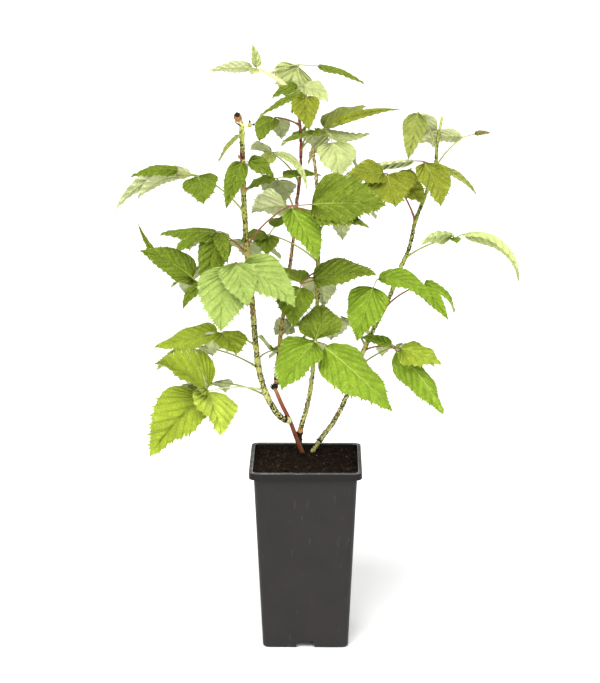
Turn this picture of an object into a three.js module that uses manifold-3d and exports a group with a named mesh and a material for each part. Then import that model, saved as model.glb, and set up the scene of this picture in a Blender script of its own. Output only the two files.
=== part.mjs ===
// A young raspberry plant in a tall square nursery pot.
// Millimetres and degrees, +Z up. The origin is the middle of the pot's flat underside.
// A heading is a compass direction in plan: 0 is +X, 90 is +Y. A rise is an angle above level.

import * as THREE from 'three';
import Module from 'manifold-3d';

const wasm = await Module();
wasm.setup();

// ---------------------------------------------------------------- driving sizes

const GAP = 0.3; // clear space kept between neighbouring solids
const PAST = 1; // how far a cutter reaches past the face that it cuts

const POT = {
  height: 200,
  rimHalf: 60,
  rimHigh: 7.5,
  rimFace: 4,
  shoulderHalf: 55,
  ledge: 2.5,
  footHalf: 46,
  footBevel: 2,
  wall: 1.5,
  floor: 2.5,
  cornerRadius: 7,
  cornerSteps: 3,
};

// A channel under each side of the pot lets water out and shows as a notch in the foot.
const CHANNEL = { wideAtFoot: 20, wideAtTop: 17, high: 7.5, deep: 26, cover: 2 };

// The compost is heaped round a point behind the middle, where the stems come up.
const SOIL = { edgeLevel: 196, crownLevel: 199, crown: [-1, 25], crownShare: 0.3, rings: 4, lump: 1.2 };

// Stations of each stem, [x, y, z], with its radius at the foot and at the tip.
const STEM_FOOT = SOIL.crownLevel + GAP;
const OLD_STEM = {
  path: [[-4, 22, STEM_FOOT], [-11, 17, 219], [-17, 13, 237], [-26, 10, 257], [-33, 7, 275]],
  foot: 2.5,
  tip: 2.1,
};
const CANES = {
  cane_left: {
    path: [
      [-17, 13, 238], [-26, 6, 243], [-35, 3, 255], [-45, 0, 278], [-51, -3, 305], [-54, -5, 335],
      [-57, -8, 375], [-61, -10, 420], [-64, -12, 465], [-65.5, -12, 510], [-66.5, -12, 562],
    ],
    foot: 2.9,
    tip: 2.6,
  },
  cane_tall: {
    path: [
      [-33, 7, 275 + GAP], [-30, 10, 307], [-26, 16, 343], [-20, 22, 387], [-14, 28, 431],
      [-10, 32, 472], [-6, 35, 512], [-7, 38, 560], [-11, 38, 586], [-22, 34, 598], [-38, 30, 610],
      [-50, 26, 617],
    ],
    foot: 2.2,
    tip: 0.9,
  },
  cane_middle: {
    path: [
      [-8, 28, STEM_FOOT], [-7, 22, 220], [0, 17, 248], [4, 14, 267], [8, 9, 303],
      [12, 4, 369], [13, 2, 420], [13, 3, 476], [10, 6, 511], [7, 8, 535],
    ],
    foot: 2.6,
    tip: 1.5,
  },
  cane_right: {
    path: [
      [7, 27, STEM_FOOT], [19, 19, 220], [30, 17, 236], [44, 16, 265], [62, 18, 315], [77, 18, 348],
      [89, 20, 373], [101, 22, 405], [110, 23, 427], [116, 24, 455], [127, 24, 485], [137, 24, 518],
      [138, 24, 536], [143, 24, 567],
    ],
    foot: 2.5,
    tip: 1.5,
  },
};
const CANE_SIDES = 8;

// A stalk arches by `bend` from foot to tip, and a blade from base to tip. A blade folds up along
// its midrib, its widest place follows from the two powers, and each tooth leans towards the tip.
const STALK = { foot: 1.3, tip: 0.9, sides: 3, steps: 4, bend: 30 };
const LEAFLET = {
  thick: 1.2,
  sunk: 4,
  bend: 24,
  fold: 14,
  footPower: 0.45,
  tipPower: 1.1,
  tooth: 0.07,
  toothLean: 0.72,
  toothEvery: 11,
  fewestTeeth: 4,
  mostTeeth: 6,
};
const SMALLEST_EDGE = 0.18; // what fusing leaves finer than this is smoothed away

// A leaf of the common build: its side leaflets' length, width and turn go by the end leaflet's.
const TREFOIL = {
  broad: 0.76,
  sideLength: 0.82,
  sideTurn: 60,
  vary: 14,
  endStalk: 14,
  sideStalk: 7,
  droop: -33,
};

// One compound leaf a row: name, cane, height on the cane, stalk [length, heading, rise], then its
// leaflets [length, width, heading, rise, roll, stalk], the end one first. Roll turns the blade
// about its own midrib, and lifts its right-hand edge where it is above zero. A seventh number is
// a bend of the blade's own, and an eighth the angle by which its halves fold up, or down.
const LEAVES = [
  ['leaf_left_01', 'cane_left', 268, [84, 140, 0], trefoil(125, 52)],
  ['leaf_left_02', 'cane_left', 275, [67, 204, 5],
    [[84, 64, 208, -43, 38, 8, 4, 34], [52, 58, 294, -46, 15, 2], [67, 62, 202, 31, 47, 2, 24, 36]]],
  ['leaf_left_03', 'cane_left', 300, [80, 150, 10], trefoil(130, 54)],
  ['leaf_left_04', 'cane_left', 310, [26, 55, 10], [[26, 26, 123, 19, -45, 3], [46, 40, 45, -25, 0, 3]]],
  ['leaf_left_05', 'cane_left', 325, [44, 205, 25],
    [[77, 34, 158, -17, 40, 5, 8], [35, 44, 299, -29, 0, 3], [41, 36, 107, -43, 0, 3]]],
  ['leaf_left_06', 'cane_left', 355, [88, 250, 55],
    [[54, 40, 290, -45, 0, 3], [66, 58, 248, -62, 25, 10], [70, 46, 345, -35, -45, 8]]],
  ['leaf_left_07', 'cane_left', 375, [58, 205, 20],
    [[63, 36, 180, 27, 50, 16], [37, 14, 225, -34, 50, 2, 80], [98, 11, 152, 39, 60, 8, -44]]],
  ['leaf_left_08', 'cane_left', 385, [66, 135, 15], trefoil(125, 50)],
  ['leaf_left_09', 'cane_left', 408, [62, 92, 20], trefoil(90, 50)],
  ['leaf_left_10', 'cane_left', 425, [60, 140, 15], trefoil(120, 50)],
  ['leaf_left_11', 'cane_left', 425, [39, 195, 40],
    [[60, 34, 191, -1, 14, 4, 24, -16], [60, 34, 239, -60, 30, 2], [46, 16, 284, -33, 0, 2]]],
  ['leaf_left_12', 'cane_left', 434, [68, 340, 44],
    [[79, 64, 345, 2, -44, 24, 8], [64, 42, 311, -49, -10, 5],
      [47, 44, 146, -15, -50, 4], [66, 28, 338, -12, -30, 24, 8]]],
  ['leaf_left_13', 'cane_left', 470, [64, 185, 40],
    [[99, 22, 165, -27, -50, 8, 64], [40, 38, 283, -36, -20, 3],
      [36, 14, 82, -47, 0, 3], [53, 20, 168, -31, -44, 22, 50], [51, 20, 196, -6, 25, 22, 44, -5]]],
  ['leaf_left_14', 'cane_left', 495, [40, 272, 60],
    [[52, 22, 232, -60, 35, 3], [32, 22, 3, -33, -40, 5], [50, 24, 119, -59, 0, 5]]],
  ['leaf_left_15', 'cane_left', 555, [6, 265, -10], [[36, 12, 190, -51, 10, 2]]],
  ['leaf_tall_01', 'cane_tall', 330, [26, 55, 20], [[46, 44, 50, -20, 0, 3], [28, 26, 140, -30, -50, 3]]],
  ['leaf_tall_02', 'cane_tall', 460, [54, 230, 55],
    [[34, 26, 200, -20, 10, 2], [42, 22, 15, -1, -10, 7], [46, 38, 85, -45, 0, 8]]],
  ['leaf_tall_03', 'cane_tall', 495, [48, 215, 45],
    [[60, 10, 325, -40, -30, 2, 90], [27, 30, 148, 4, -30, 2], [30, 16, 240, -30, 20, 2]]],
  ['leaf_tall_04', 'cane_tall', 528, [58, 80, 15], trefoil(85, 44)],
  ['leaf_tall_05', 'cane_tall', 529, [32, 0, 45],
    [[54, 30, 27, 21, -20, 3], [82, 11, 355, 14, -60, 6], [54, 22, 23, -8, -20, 3, -20, -20]]],
  ['leaf_tall_06', 'cane_tall', 555, [29, 192, 20], [[34, 26, 234, -41, 10, 2], [33, 24, 77, -49, 0, 6]]],
  ['leaf_tall_07', 'cane_tall', 565, [34, 291, 53],
    [[40, 30, 277, -52, 0, 5], [53, 14, 193, -26, 20, 3], [25, 16, 212, -51, 0, 2]]],
  ['leaf_tall_08', 'cane_tall', 580, [20, 310, 70],
    [[36, 26, 325, -25, -20, 2], [30, 16, 197, -23, 30, 5]]],
  ['leaf_tall_09', 'cane_tall', 610, [36, 28, 14],
    [[56, 20, 336, -18, -10, 22, 36, -8], [36, 43, 181, -70, 84, 2]]],
  ['leaf_tall_10', 'cane_tall', 614, [8, 179, 15],
    [[26, 11, 200, 77, 80, 2], [47, 17, 196, -2, -60, 5], [13, 12, 248, -19, 20, 2]]],
  ['leaf_middle_01', 'cane_middle', 275, [99, 274, 44],
    [[98, 60, 339, -39, -27, 12, 24, -5], [62, 64, 211, -51, 4, 2, 30], [55, 44, 84, 28, 0, 2]]],
  ['leaf_middle_02', 'cane_middle', 300, [72, 100, 10], trefoil(95, 54)],
  ['leaf_middle_03', 'cane_middle', 405, [32, 235, -15],
    [[67, 42, 350, 7, -28, 14], [47, 40, 258, -48, 15, 6], [52, 30, 115, 5, 0, 2]]],
  ['leaf_middle_04', 'cane_middle', 415, [36, 95, -40],
    [[50, 28, 100, -45, 0, 4], [56, 32, 80, -45, 0, 5]]],
  ['leaf_middle_05', 'cane_middle', 415, [62, 160, 25],
    [[30, 26, 205, -10, 15, 3], [24, 26, 265, -45, 10, 3], [26, 18, 65, 15, 0, 13]]],
  ['leaf_middle_06', 'cane_middle', 445, [76, 65, 25],
    [[51, 34, 96, -71, 0, 8], [45, 30, 31, -39, 0, 5], [44, 30, 134, -36, 0, 5]]],
  ['leaf_middle_07', 'cane_middle', 535, [24, 3, 40],
    [[52, 18, 202, -8, 10, 4], [38, 44, 294, -67, 0, 10],
      [32, 28, 6, -56, -20, 15], [41, 18, 141, -51, 0, 5]]],
  ['leaf_right_01', 'cane_right', 295, [56, 30, 20], trefoil(60, 48)],
  ['leaf_right_02', 'cane_right', 315, [42, 320, 14],
    [[47, 44, 344, -18, -22, 8, 24, -6], [84, 40, 324, -45, -30, 6, 10, -36], [44, 14, 141, 3, 30, 3]]],
  ['leaf_right_03', 'cane_right', 320, [74, 112, 12], trefoil(100, 54)],
  ['leaf_right_04', 'cane_right', 360, [56, 330, 35],
    [[49, 18, 314, -39, -40, 2], [50, 20, 15, -44, -30, 3, 70]]],
  ['leaf_right_05', 'cane_right', 385, [48, 245, 20],
    [[59, 50, 227, -65, 8, 10], [67, 30, 343, -24, -25, 2, 70]]],
  ['leaf_right_06', 'cane_right', 415, [60, 345, 25],
    [[97, 26, 340, -38, 42, 10, 130, -50],
      [44, 26, 208, -11, -42, 4, 100, -50], [13, 12, 277, -16, 0, 2]]],
  ['leaf_right_07', 'cane_right', 455, [68, 215, 55],
    [[43, 56, 283, -40, -5, 4], [47, 34, 211, -4, 35, 4], [44, 36, 345, -40, -35, 8]]],
  ['leaf_right_08', 'cane_right', 480, [66, 104, 14], trefoil(105, 50)],
  ['leaf_right_09', 'cane_right', 500, [40, 251, 38],
    [[51, 40, 301, -53, 0, 4], [46, 9, 11, -39, -60, 25, 34], [81, 14, 155, -15, -42, 11, 24, -50]]],
  ['leaf_right_10', 'cane_right', 508, [52, 336, 50],
    [[18, 6, 351, 4, -60, 12], [56, 22, 149, -12, -50, 3]]],
  ['leaf_right_11', 'cane_right', 530, [52, 218, 59], [[53, 26, 250, -56, 0, 3], [60, 28, 67, -44, 0, 6]]],
];

// ---------------------------------------------------------------- rules

function direction(heading, rise) {
  const h = THREE.MathUtils.degToRad(heading);
  const r = THREE.MathUtils.degToRad(rise);
  return new THREE.Vector3(Math.cos(h) * Math.cos(r), Math.sin(h) * Math.cos(r), Math.sin(r));
}

// The same small pseudo-random number in 0..1 for the same two whole numbers.
function dice(seed, draw) {
  const value = Math.sin(seed * 12.9898 + draw * 78.233) * 43758.5453;
  return value - Math.floor(value);
}

// Three leaflets, the end one along `heading`, each thrown a little off by the dice.
function trefoil(heading, length) {
  const { broad, sideLength, sideTurn, vary, endStalk, sideStalk, droop } = TREFOIL;
  const side = length * sideLength;
  return [[length, 0, endStalk], [side, -sideTurn, sideStalk], [side, sideTurn, sideStalk]].map(
    ([long, turn, stalk], i) => {
      const off = [0, 1, 2].map((draw) => vary * (dice(heading + length, 3 * i + draw) - 0.5));
      return [long, long * broad, heading + turn + off[0], droop + off[1], 2 * off[2], stalk];
    },
  );
}

// ---------------------------------------------------------------- solids

function geometryFrom(points, faces) {
  const geometry = new THREE.BufferGeometry();
  const numbers = points.flatMap((p) => [p.x, p.y, p.z]);
  geometry.setAttribute('position', new THREE.Float32BufferAttribute(numbers, 3));
  geometry.setIndex(faces.flat());
  return geometry;
}

function solidFrom(geometry) {
  const vertProperties = new Float32Array(geometry.attributes.position.array);
  const triVerts = new Uint32Array(geometry.index.array);
  return new wasm.Manifold(new wasm.Mesh({ numProp: 3, vertProperties, triVerts }));
}

function meshFrom(name, solid, finish) {
  const made = solid.getMesh();
  const geometry = new THREE.BufferGeometry();
  geometry.setAttribute('position', new THREE.BufferAttribute(made.vertProperties, 3));
  geometry.setIndex(new THREE.BufferAttribute(made.triVerts, 1));
  geometry.computeVertexNormals();
  const mesh = new THREE.Mesh(geometry, new THREE.MeshStandardMaterial(finish));
  mesh.name = name;
  return mesh;
}

// A closed skin over rings of equal point count, each running anticlockwise seen from its own end.
function loft(rings) {
  const count = rings[0].length;
  const points = rings.flat();
  const faces = [];
  for (let r = 0; r + 1 < rings.length; r++) {
    for (let i = 0; i < count; i++) {
      const a = r * count + i;
      const b = r * count + (i + 1) % count;
      faces.push([a, b, b + count], [a, b + count, a + count]);
    }
  }
  const last = (rings.length - 1) * count;
  for (let i = 1; i + 1 < count; i++) {
    faces.push([0, i + 1, i], [last, last + i, last + i + 1]);
  }
  return geometryFrom(points, faces);
}

// ---------------------------------------------------------------- pot and soil

// The square's ring of points at height z, drawn in by `share` towards a centre.
function roundedSquare(half, radius, z, [centreX, centreY] = [0, 0], share = 1) {
  const points = [];
  for (let corner = 0; corner < 4; corner++) {
    const signX = corner === 0 || corner === 3 ? 1 : -1;
    const signY = corner < 2 ? 1 : -1;
    for (let s = 0; s <= POT.cornerSteps; s++) {
      const angle = (corner + s / POT.cornerSteps) * Math.PI / 2;
      const x = signX * (half - radius) + radius * Math.cos(angle);
      const y = signY * (half - radius) + radius * Math.sin(angle);
      points.push(new THREE.Vector3(centreX + (x - centreX) * share, centreY + (y - centreY) * share, z));
    }
  }
  return points;
}

const SHOULDER = POT.height - POT.rimHigh;

function wallHalf(z) {
  return POT.footHalf + (POT.shoulderHalf - POT.footHalf) * z / SHOULDER;
}

function potOutside() {
  return solidFrom(loft([
    roundedSquare(POT.footHalf - POT.footBevel, POT.cornerRadius, 0),
    roundedSquare(POT.footHalf, POT.cornerRadius, POT.footBevel),
    roundedSquare(POT.shoulderHalf, POT.cornerRadius, SHOULDER),
    roundedSquare(POT.rimHalf, POT.cornerRadius, SHOULDER),
    roundedSquare(POT.rimHalf, POT.cornerRadius, POT.height),
  ]));
}

// Heights and half widths of the pot's inside, drawn in by `clear` on every wall.
function insideLevels(clear) {
  return [
    [POT.floor + clear, wallHalf(POT.floor) - POT.wall - clear],
    [SHOULDER, POT.shoulderHalf - POT.wall - clear],
    [SHOULDER + POT.ledge, POT.rimHalf - POT.rimFace - clear],
  ];
}

// The four drainage channels, or with `spare` what stands that far round them inside the pot.
function channelSolids(spare) {
  const wideLow = CHANNEL.wideAtFoot / 2 + spare;
  const wideHigh = CHANNEL.wideAtTop / 2 + spare;
  const inner = POT.footHalf - CHANNEL.deep - spare;
  const outer = POT.shoulderHalf;
  return [0, 1, 2, 3].map((side) => {
    const levels = [[-PAST, wideLow], [CHANNEL.high + spare, wideHigh]];
    const geometry = loft(levels.map(([z, wide]) => {
      const corners = [[-wide, -outer], [wide, -outer], [wide, -inner], [-wide, -inner]];
      return corners.map(([x, y]) => new THREE.Vector3(x, y, z));
    }));
    geometry.rotateZ(side * Math.PI / 2);
    return solidFrom(geometry);
  });
}

function without(solid, cutters) {
  return cutters.reduce((rest, cutter) => rest.subtract(cutter), solid);
}

function makePot() {
  const innerRadius = POT.cornerRadius - POT.wall;
  const rings = insideLevels(0).map(([z, half]) => roundedSquare(half, innerRadius, z));
  rings.push(roundedSquare(POT.rimHalf - POT.rimFace, innerRadius, POT.height + PAST));
  const hollow = without(solidFrom(loft(rings)), channelSolids(CHANNEL.cover));
  return without(potOutside().subtract(hollow), channelSolids(0));
}

function makeSoil() {
  const radius = POT.cornerRadius - POT.wall - GAP;
  const inRim = POT.rimHalf - POT.rimFace - GAP;
  const rings = insideLevels(GAP).map(([z, half]) => roundedSquare(half, radius, z));
  for (let ring = 0; ring <= SOIL.rings; ring++) {
    const climb = ring / SOIL.rings;
    const share = 1 - climb * (1 - SOIL.crownShare);
    const z = SOIL.edgeLevel + climb * (SOIL.crownLevel - SOIL.edgeLevel);
    const lump = ring === 0 || ring === SOIL.rings ? 0 : SOIL.lump;
    const level = roundedSquare(inRim, radius, z, SOIL.crown, share);
    level.forEach((point, i) => point.setZ(z + lump * (dice(ring, i) - 0.5)));
    rings.push(level);
  }
  return without(solidFrom(loft(rings)), channelSolids(CHANNEL.cover + GAP));
}

// ---------------------------------------------------------------- stems

function stemCurve(path) {
  return new THREE.CatmullRomCurve3(path.map((p) => new THREE.Vector3(...p)), false, 'centripetal');
}

function ringAt(centre, across, forward, radius, sides) {
  return Array.from({ length: sides }, (_, i) => {
    const angle = 2 * Math.PI * i / sides;
    return centre.clone()
      .addScaledVector(across, radius * Math.cos(angle))
      .addScaledVector(forward, radius * Math.sin(angle));
  });
}

// A tapering tube through the stem's stations. Its two ends are level cuts.
function stemSolid({ path, foot, tip }, clear = 0) {
  const curve = stemCurve(path);
  const steps = 2 * (path.length - 1);
  const rings = [];
  for (let i = 0; i <= steps; i++) {
    const share = i / steps;
    const atEnd = i === 0 || i === steps;
    const along = atEnd ? new THREE.Vector3(0, 0, 1) : curve.getTangent(share);
    const across = new THREE.Vector3(0, 1, 0).cross(along).normalize();
    const forward = along.clone().cross(across);
    const radius = foot + (tip - foot) * share + clear;
    rings.push(ringAt(curve.getPoint(share), across, forward, radius, CANE_SIDES));
  }
  return solidFrom(loft(rings));
}

// The stem's middle at a height, found by halving, as its stations rise all the way.
function stemPointAt({ path }, z) {
  const curve = stemCurve(path);
  const halvings = 30;
  let low = 0;
  let high = 1;
  for (let i = 0; i < halvings; i++) {
    const middle = (low + high) / 2;
    if (curve.getPoint(middle).z < z) {
      low = middle;
    } else {
      high = middle;
    }
  }
  return curve.getPoint(low);
}

// ---------------------------------------------------------------- leaves

// Points along a limb that sets out `bend / 2` above its rise and ends as far below it.
function arc(start, length, heading, rise, bend, steps) {
  const points = [start.clone()];
  for (let i = 0; i < steps; i++) {
    const slope = rise + bend * (0.5 - (i + 0.5) / steps);
    points.push(points[i].clone().addScaledVector(direction(heading, slope), length / steps));
  }
  return points;
}

// The unit vector along a run of points at its i-th one.
function alongAt(points, i) {
  const before = points[Math.max(i - 1, 0)];
  const after = points[Math.min(i + 1, points.length - 1)];
  return after.clone().sub(before).normalize();
}

function twigSolid(points, heading, footRadius, tipRadius) {
  const across = direction(heading - 90, 0);
  const rings = points.map((point, i) => {
    const upward = across.clone().cross(alongAt(points, i)).normalize();
    const radius = footRadius + (tipRadius - footRadius) * i / (points.length - 1);
    return ringAt(point, upward, across, radius, STALK.sides);
  });
  return solidFrom(loft(rings));
}

// Half width of a raspberry leaflet at a share of its length: egg-shaped with a drawn-out tip.
function halfWidthAt(share, width) {
  const shape = (s) => Math.pow(s, LEAFLET.footPower) * Math.pow(1 - s, LEAFLET.tipPower);
  const widest = LEAFLET.footPower / (LEAFLET.footPower + LEAFLET.tipPower);
  return width / 2 * shape(share) / shape(widest);
}

// The blade's own directions at each midrib point, with the roll worked in.
function bladeFrames(midrib, heading, roll) {
  const flatSide = direction(heading - 90, 0);
  const turn = THREE.MathUtils.degToRad(roll);
  return midrib.map((point, i) => {
    const along = alongAt(midrib, i);
    const flatFace = flatSide.clone().cross(along);
    return {
      point,
      along,
      side: flatSide.clone().multiplyScalar(Math.cos(turn)).addScaledVector(flatFace, Math.sin(turn)),
      face: flatFace.clone().multiplyScalar(Math.cos(turn)).addScaledVector(flatSide, -Math.sin(turn)),
    };
  });
}

// A toothed blade, thick along its midrib and sharp at its edge.
function bladeSolid(base, [length, width, heading, rise, roll], bend, foldAngle) {
  const { toothEvery, fewestTeeth, mostTeeth, thick, tooth, toothLean } = LEAFLET;
  const teeth = THREE.MathUtils.clamp(Math.round(length / toothEvery), fewestTeeth, mostTeeth);
  const frames = bladeFrames(arc(base, length, heading, rise, bend, teeth), heading, roll);
  const fold = THREE.MathUtils.degToRad(foldAngle);
  const edge = (k, share, half, hand) => frames[k].point.clone()
    .addScaledVector(frames[k].along, (share - k / teeth) * length)
    .addScaledVector(frames[k].side, hand * half * Math.cos(fold))
    .addScaledVector(frames[k].face, half * Math.sin(fold));

  const points = [frames[0].point, frames[teeth].point];
  const faces = [];
  const keep = (point) => points.push(point) - 1;
  const top = [0];
  const under = [0];
  for (let k = 1; k < teeth; k++) {
    top.push(keep(frames[k].point.clone().addScaledVector(frames[k].face, thick / 2)));
    under.push(keep(frames[k].point.clone().addScaledVector(frames[k].face, -thick / 2)));
  }
  top.push(1);
  under.push(1);
  for (const hand of [1, -1]) {
    const notch = [0];
    for (let k = 1; k < teeth; k++) {
      notch.push(keep(edge(k, k / teeth, halfWidthAt(k / teeth, width), hand)));
    }
    notch.push(1);
    for (let k = 0; k < teeth; k++) {
      const share = (k + toothLean) / teeth;
      const tip = keep(edge(k, share, halfWidthAt(share, width) + tooth * width, hand));
      for (const [middle, up] of [[top, true], [under, false]]) {
        const fan = [
          [middle[k], notch[k], tip],
          [middle[k], tip, middle[k + 1]],
          [middle[k + 1], tip, notch[k + 1]],
        ];
        for (const face of fan.filter((corners) => new Set(corners).size === 3)) {
          faces.push((hand === 1) === up ? face : face.toReversed());
        }
      }
    }
  }
  return solidFrom(geometryFrom(points, faces));
}

// A stalk from the middle of its cane with its leaflets fused on, cut clear of the cane.
function makeLeaf([, caneName, height, [length, heading, rise], leaflets]) {
  const cane = CANES[caneName];
  const foot = stemPointAt(cane, height);
  const stalk = arc(foot, length, heading, rise, STALK.bend, STALK.steps);
  const hub = stalk[STALK.steps];
  const pieces = [twigSolid(stalk, heading, STALK.foot, STALK.tip)];
  for (const leaflet of leaflets) {
    const [, , bladeHeading, bladeRise, , reach, ...shape] = leaflet;
    const [bend = LEAFLET.bend, fold = LEAFLET.fold] = shape;
    const onward = direction(bladeHeading, bladeRise + bend / 2);
    const base = hub.clone().addScaledVector(onward, reach);
    const root = base.clone().addScaledVector(onward, LEAFLET.sunk);
    pieces.push(twigSolid([hub, root], bladeHeading, STALK.tip, STALK.tip));
    pieces.push(bladeSolid(base, leaflet, bend, fold));
  }
  const whole = pieces.reduce((sum, piece) => sum.add(piece)).subtract(stemSolid(cane, GAP));
  const bodies = whole.asOriginal().simplify(SMALLEST_EDGE).decompose();
  return bodies.reduce((largest, body) => (body.volume() > largest.volume() ? body : largest));
}

// ---------------------------------------------------------------- the whole plant

const FINISH = {
  pot: { color: 0x434240, roughness: 0.45, metalness: 0 },
  soil: { color: 0x2a1d15, roughness: 1, metalness: 0 },
  oldStem: { color: 0x8a4632, roughness: 0.6, metalness: 0 },
  cane: { color: 0xb9bd7c, roughness: 0.6, metalness: 0 },
  leaf: { color: 0x86ad3c, roughness: 0.6, metalness: 0 },
};

const plant = new THREE.Group();
plant.add(meshFrom('pot', makePot(), FINISH.pot));
plant.add(meshFrom('soil', makeSoil(), FINISH.soil));
plant.add(meshFrom('old_stem', stemSolid(OLD_STEM), FINISH.oldStem));
for (const [name, cane] of Object.entries(CANES)) {
  const solid = stemSolid(cane).subtract(stemSolid(OLD_STEM, GAP));
  plant.add(meshFrom(name, solid, FINISH.cane));
}
for (const row of LEAVES) {
  plant.add(meshFrom(row[0], makeLeaf(row), FINISH.leaf));
}

export default plant;
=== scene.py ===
"""A young raspberry plant in a tall square pot, dressed around its packed frame.

The stems and leaves grow by the same rule as the solids do, carried on to finer teeth, veins and bark.
Lengths in the plan of the plant are millimetres and angles are degrees. A heading is a compass
direction in plan, 0 along +X and 90 along +Y, and a rise is an angle above level.
"""

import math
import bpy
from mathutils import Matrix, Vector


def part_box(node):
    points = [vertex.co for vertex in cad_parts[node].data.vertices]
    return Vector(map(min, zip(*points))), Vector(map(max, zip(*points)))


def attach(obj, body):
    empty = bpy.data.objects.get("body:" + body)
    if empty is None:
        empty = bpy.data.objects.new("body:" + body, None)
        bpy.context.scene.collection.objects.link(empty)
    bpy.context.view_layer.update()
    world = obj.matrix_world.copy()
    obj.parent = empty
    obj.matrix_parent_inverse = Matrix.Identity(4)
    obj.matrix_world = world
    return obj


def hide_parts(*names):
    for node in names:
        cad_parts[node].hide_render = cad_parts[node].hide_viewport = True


bl_info = {
    "name": "Raspberry in a Pot",
    "version": (1, 0, 0),
    "blender": (4, 5, 0),
    "location": "View3D > Sidebar > Raspberry",
    "description": "Builds a potted raspberry with speckled bark, pleated leaves and crumbly compost",
    "category": "Add Mesh",
}

from typing import NamedTuple

import bmesh
import bpy
import numpy as np
from bpy.props import FloatProperty, FloatVectorProperty, IntProperty, PointerProperty
from mathutils import Matrix, Vector, noise

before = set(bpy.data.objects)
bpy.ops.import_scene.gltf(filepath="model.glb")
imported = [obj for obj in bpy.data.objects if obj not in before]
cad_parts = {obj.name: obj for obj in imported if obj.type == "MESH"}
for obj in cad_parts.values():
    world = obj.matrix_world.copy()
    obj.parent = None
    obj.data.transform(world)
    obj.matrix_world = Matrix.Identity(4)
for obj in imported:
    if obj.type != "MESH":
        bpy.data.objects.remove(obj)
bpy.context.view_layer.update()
POT_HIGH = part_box("pot")[1]
SOIL_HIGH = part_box("soil")[1]

MM = 0.001

# ---------------------------------------------------------------- the plan of the plant

STEM_FOOT = 199.3
STEMS = {
    "old_stem": {
        "path": [(-4, 22, STEM_FOOT), (-11, 17, 219), (-17, 13, 237), (-26, 10, 257), (-33, 7, 275)],
        "foot": 2.5,
        "tip": 2.1,
    },
    "cane_left": {
        "path": [
            (-17, 13, 238), (-26, 6, 243), (-35, 3, 255), (-45, 0, 278), (-51, -3, 305), (-54, -5, 335),
            (-57, -8, 375), (-61, -10, 420), (-64, -12, 465), (-65.5, -12, 510), (-66.5, -12, 562),
        ],
        "foot": 2.9,
        "tip": 2.6,
    },
    "cane_tall": {
        "path": [
            (-33, 7, 275.3), (-30, 10, 307), (-26, 16, 343), (-20, 22, 387), (-14, 28, 431),
            (-10, 32, 472), (-6, 35, 512), (-7, 38, 560), (-11, 38, 586), (-22, 34, 598), (-38, 30, 610),
            (-50, 26, 617),
        ],
        "foot": 2.2,
        "tip": 0.9,
    },
    "cane_middle": {
        "path": [
            (-8, 28, STEM_FOOT), (-7, 22, 220), (0, 17, 248), (4, 14, 267), (8, 9, 303),
            (12, 4, 369), (13, 2, 420), (13, 3, 476), (10, 6, 511), (7, 8, 535),
        ],
        "foot": 2.6,
        "tip": 1.5,
    },
    "cane_right": {
        "path": [
            (7, 27, STEM_FOOT), (19, 19, 220), (30, 17, 236), (44, 16, 265), (62, 18, 315), (77, 18, 348),
            (89, 20, 373), (101, 22, 405), (110, 23, 427), (116, 24, 455), (127, 24, 485), (137, 24, 518),
            (138, 24, 536), (143, 24, 567),
        ],
        "foot": 2.5,
        "tip": 1.5,
    },
}


class Leaflet(NamedTuple):
    """One leaflet: its size, its slant, and how far its foot stands from the hub of its leaf."""

    size: float
    width: float
    heading: float
    rise: float
    roll: float
    stalk: float
    bend: float = 24
    fold: float | None = None


class Leaf(NamedTuple):
    """One compound leaf, with its stalk as (length, heading, rise) and a tone for each leaflet."""

    name: str
    stem: str
    height: float
    stalk: tuple
    leaflets: list
    tones: list


# A leaf at the back: each side leaflet's share of the end one's length, the shares and angles that all
# three have, and how far the dice throw each off.
SIDE_SHARE = 0.82
SIDE_TURN = 60
SIDE_STALK = 7
END_STALK = 14
BROAD = 0.76
DROOP = -33
VARY = 14


def dice(seed, draw):
    """The same small pseudo-random number in 0..1 for the same two whole numbers."""
    value = math.sin(seed * 12.9898 + draw * 78.233) * 43758.5453
    return value - math.floor(value)


def thrown(seed, draw, span):
    """A number from a span of (least, most), picked by the dice."""
    least, most = span
    return least + (most - least) * dice(seed, draw)


def trefoil(heading, size):
    """Three leaflets, the end one along heading, each thrown a little off by the dice."""
    plan = [(size, 0, END_STALK)] + [(size * SIDE_SHARE, hand * SIDE_TURN, SIDE_STALK) for hand in (-1, 1)]
    rows = []
    for i, (long, swing, stalk) in enumerate(plan):
        turn, droop, roll = (VARY * (dice(heading + size, 3 * i + draw) - 0.5) for draw in range(3))
        rows.append((long, long * BROAD, heading + swing + turn, DROOP + droop, 2 * roll, stalk))
    return rows


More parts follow.
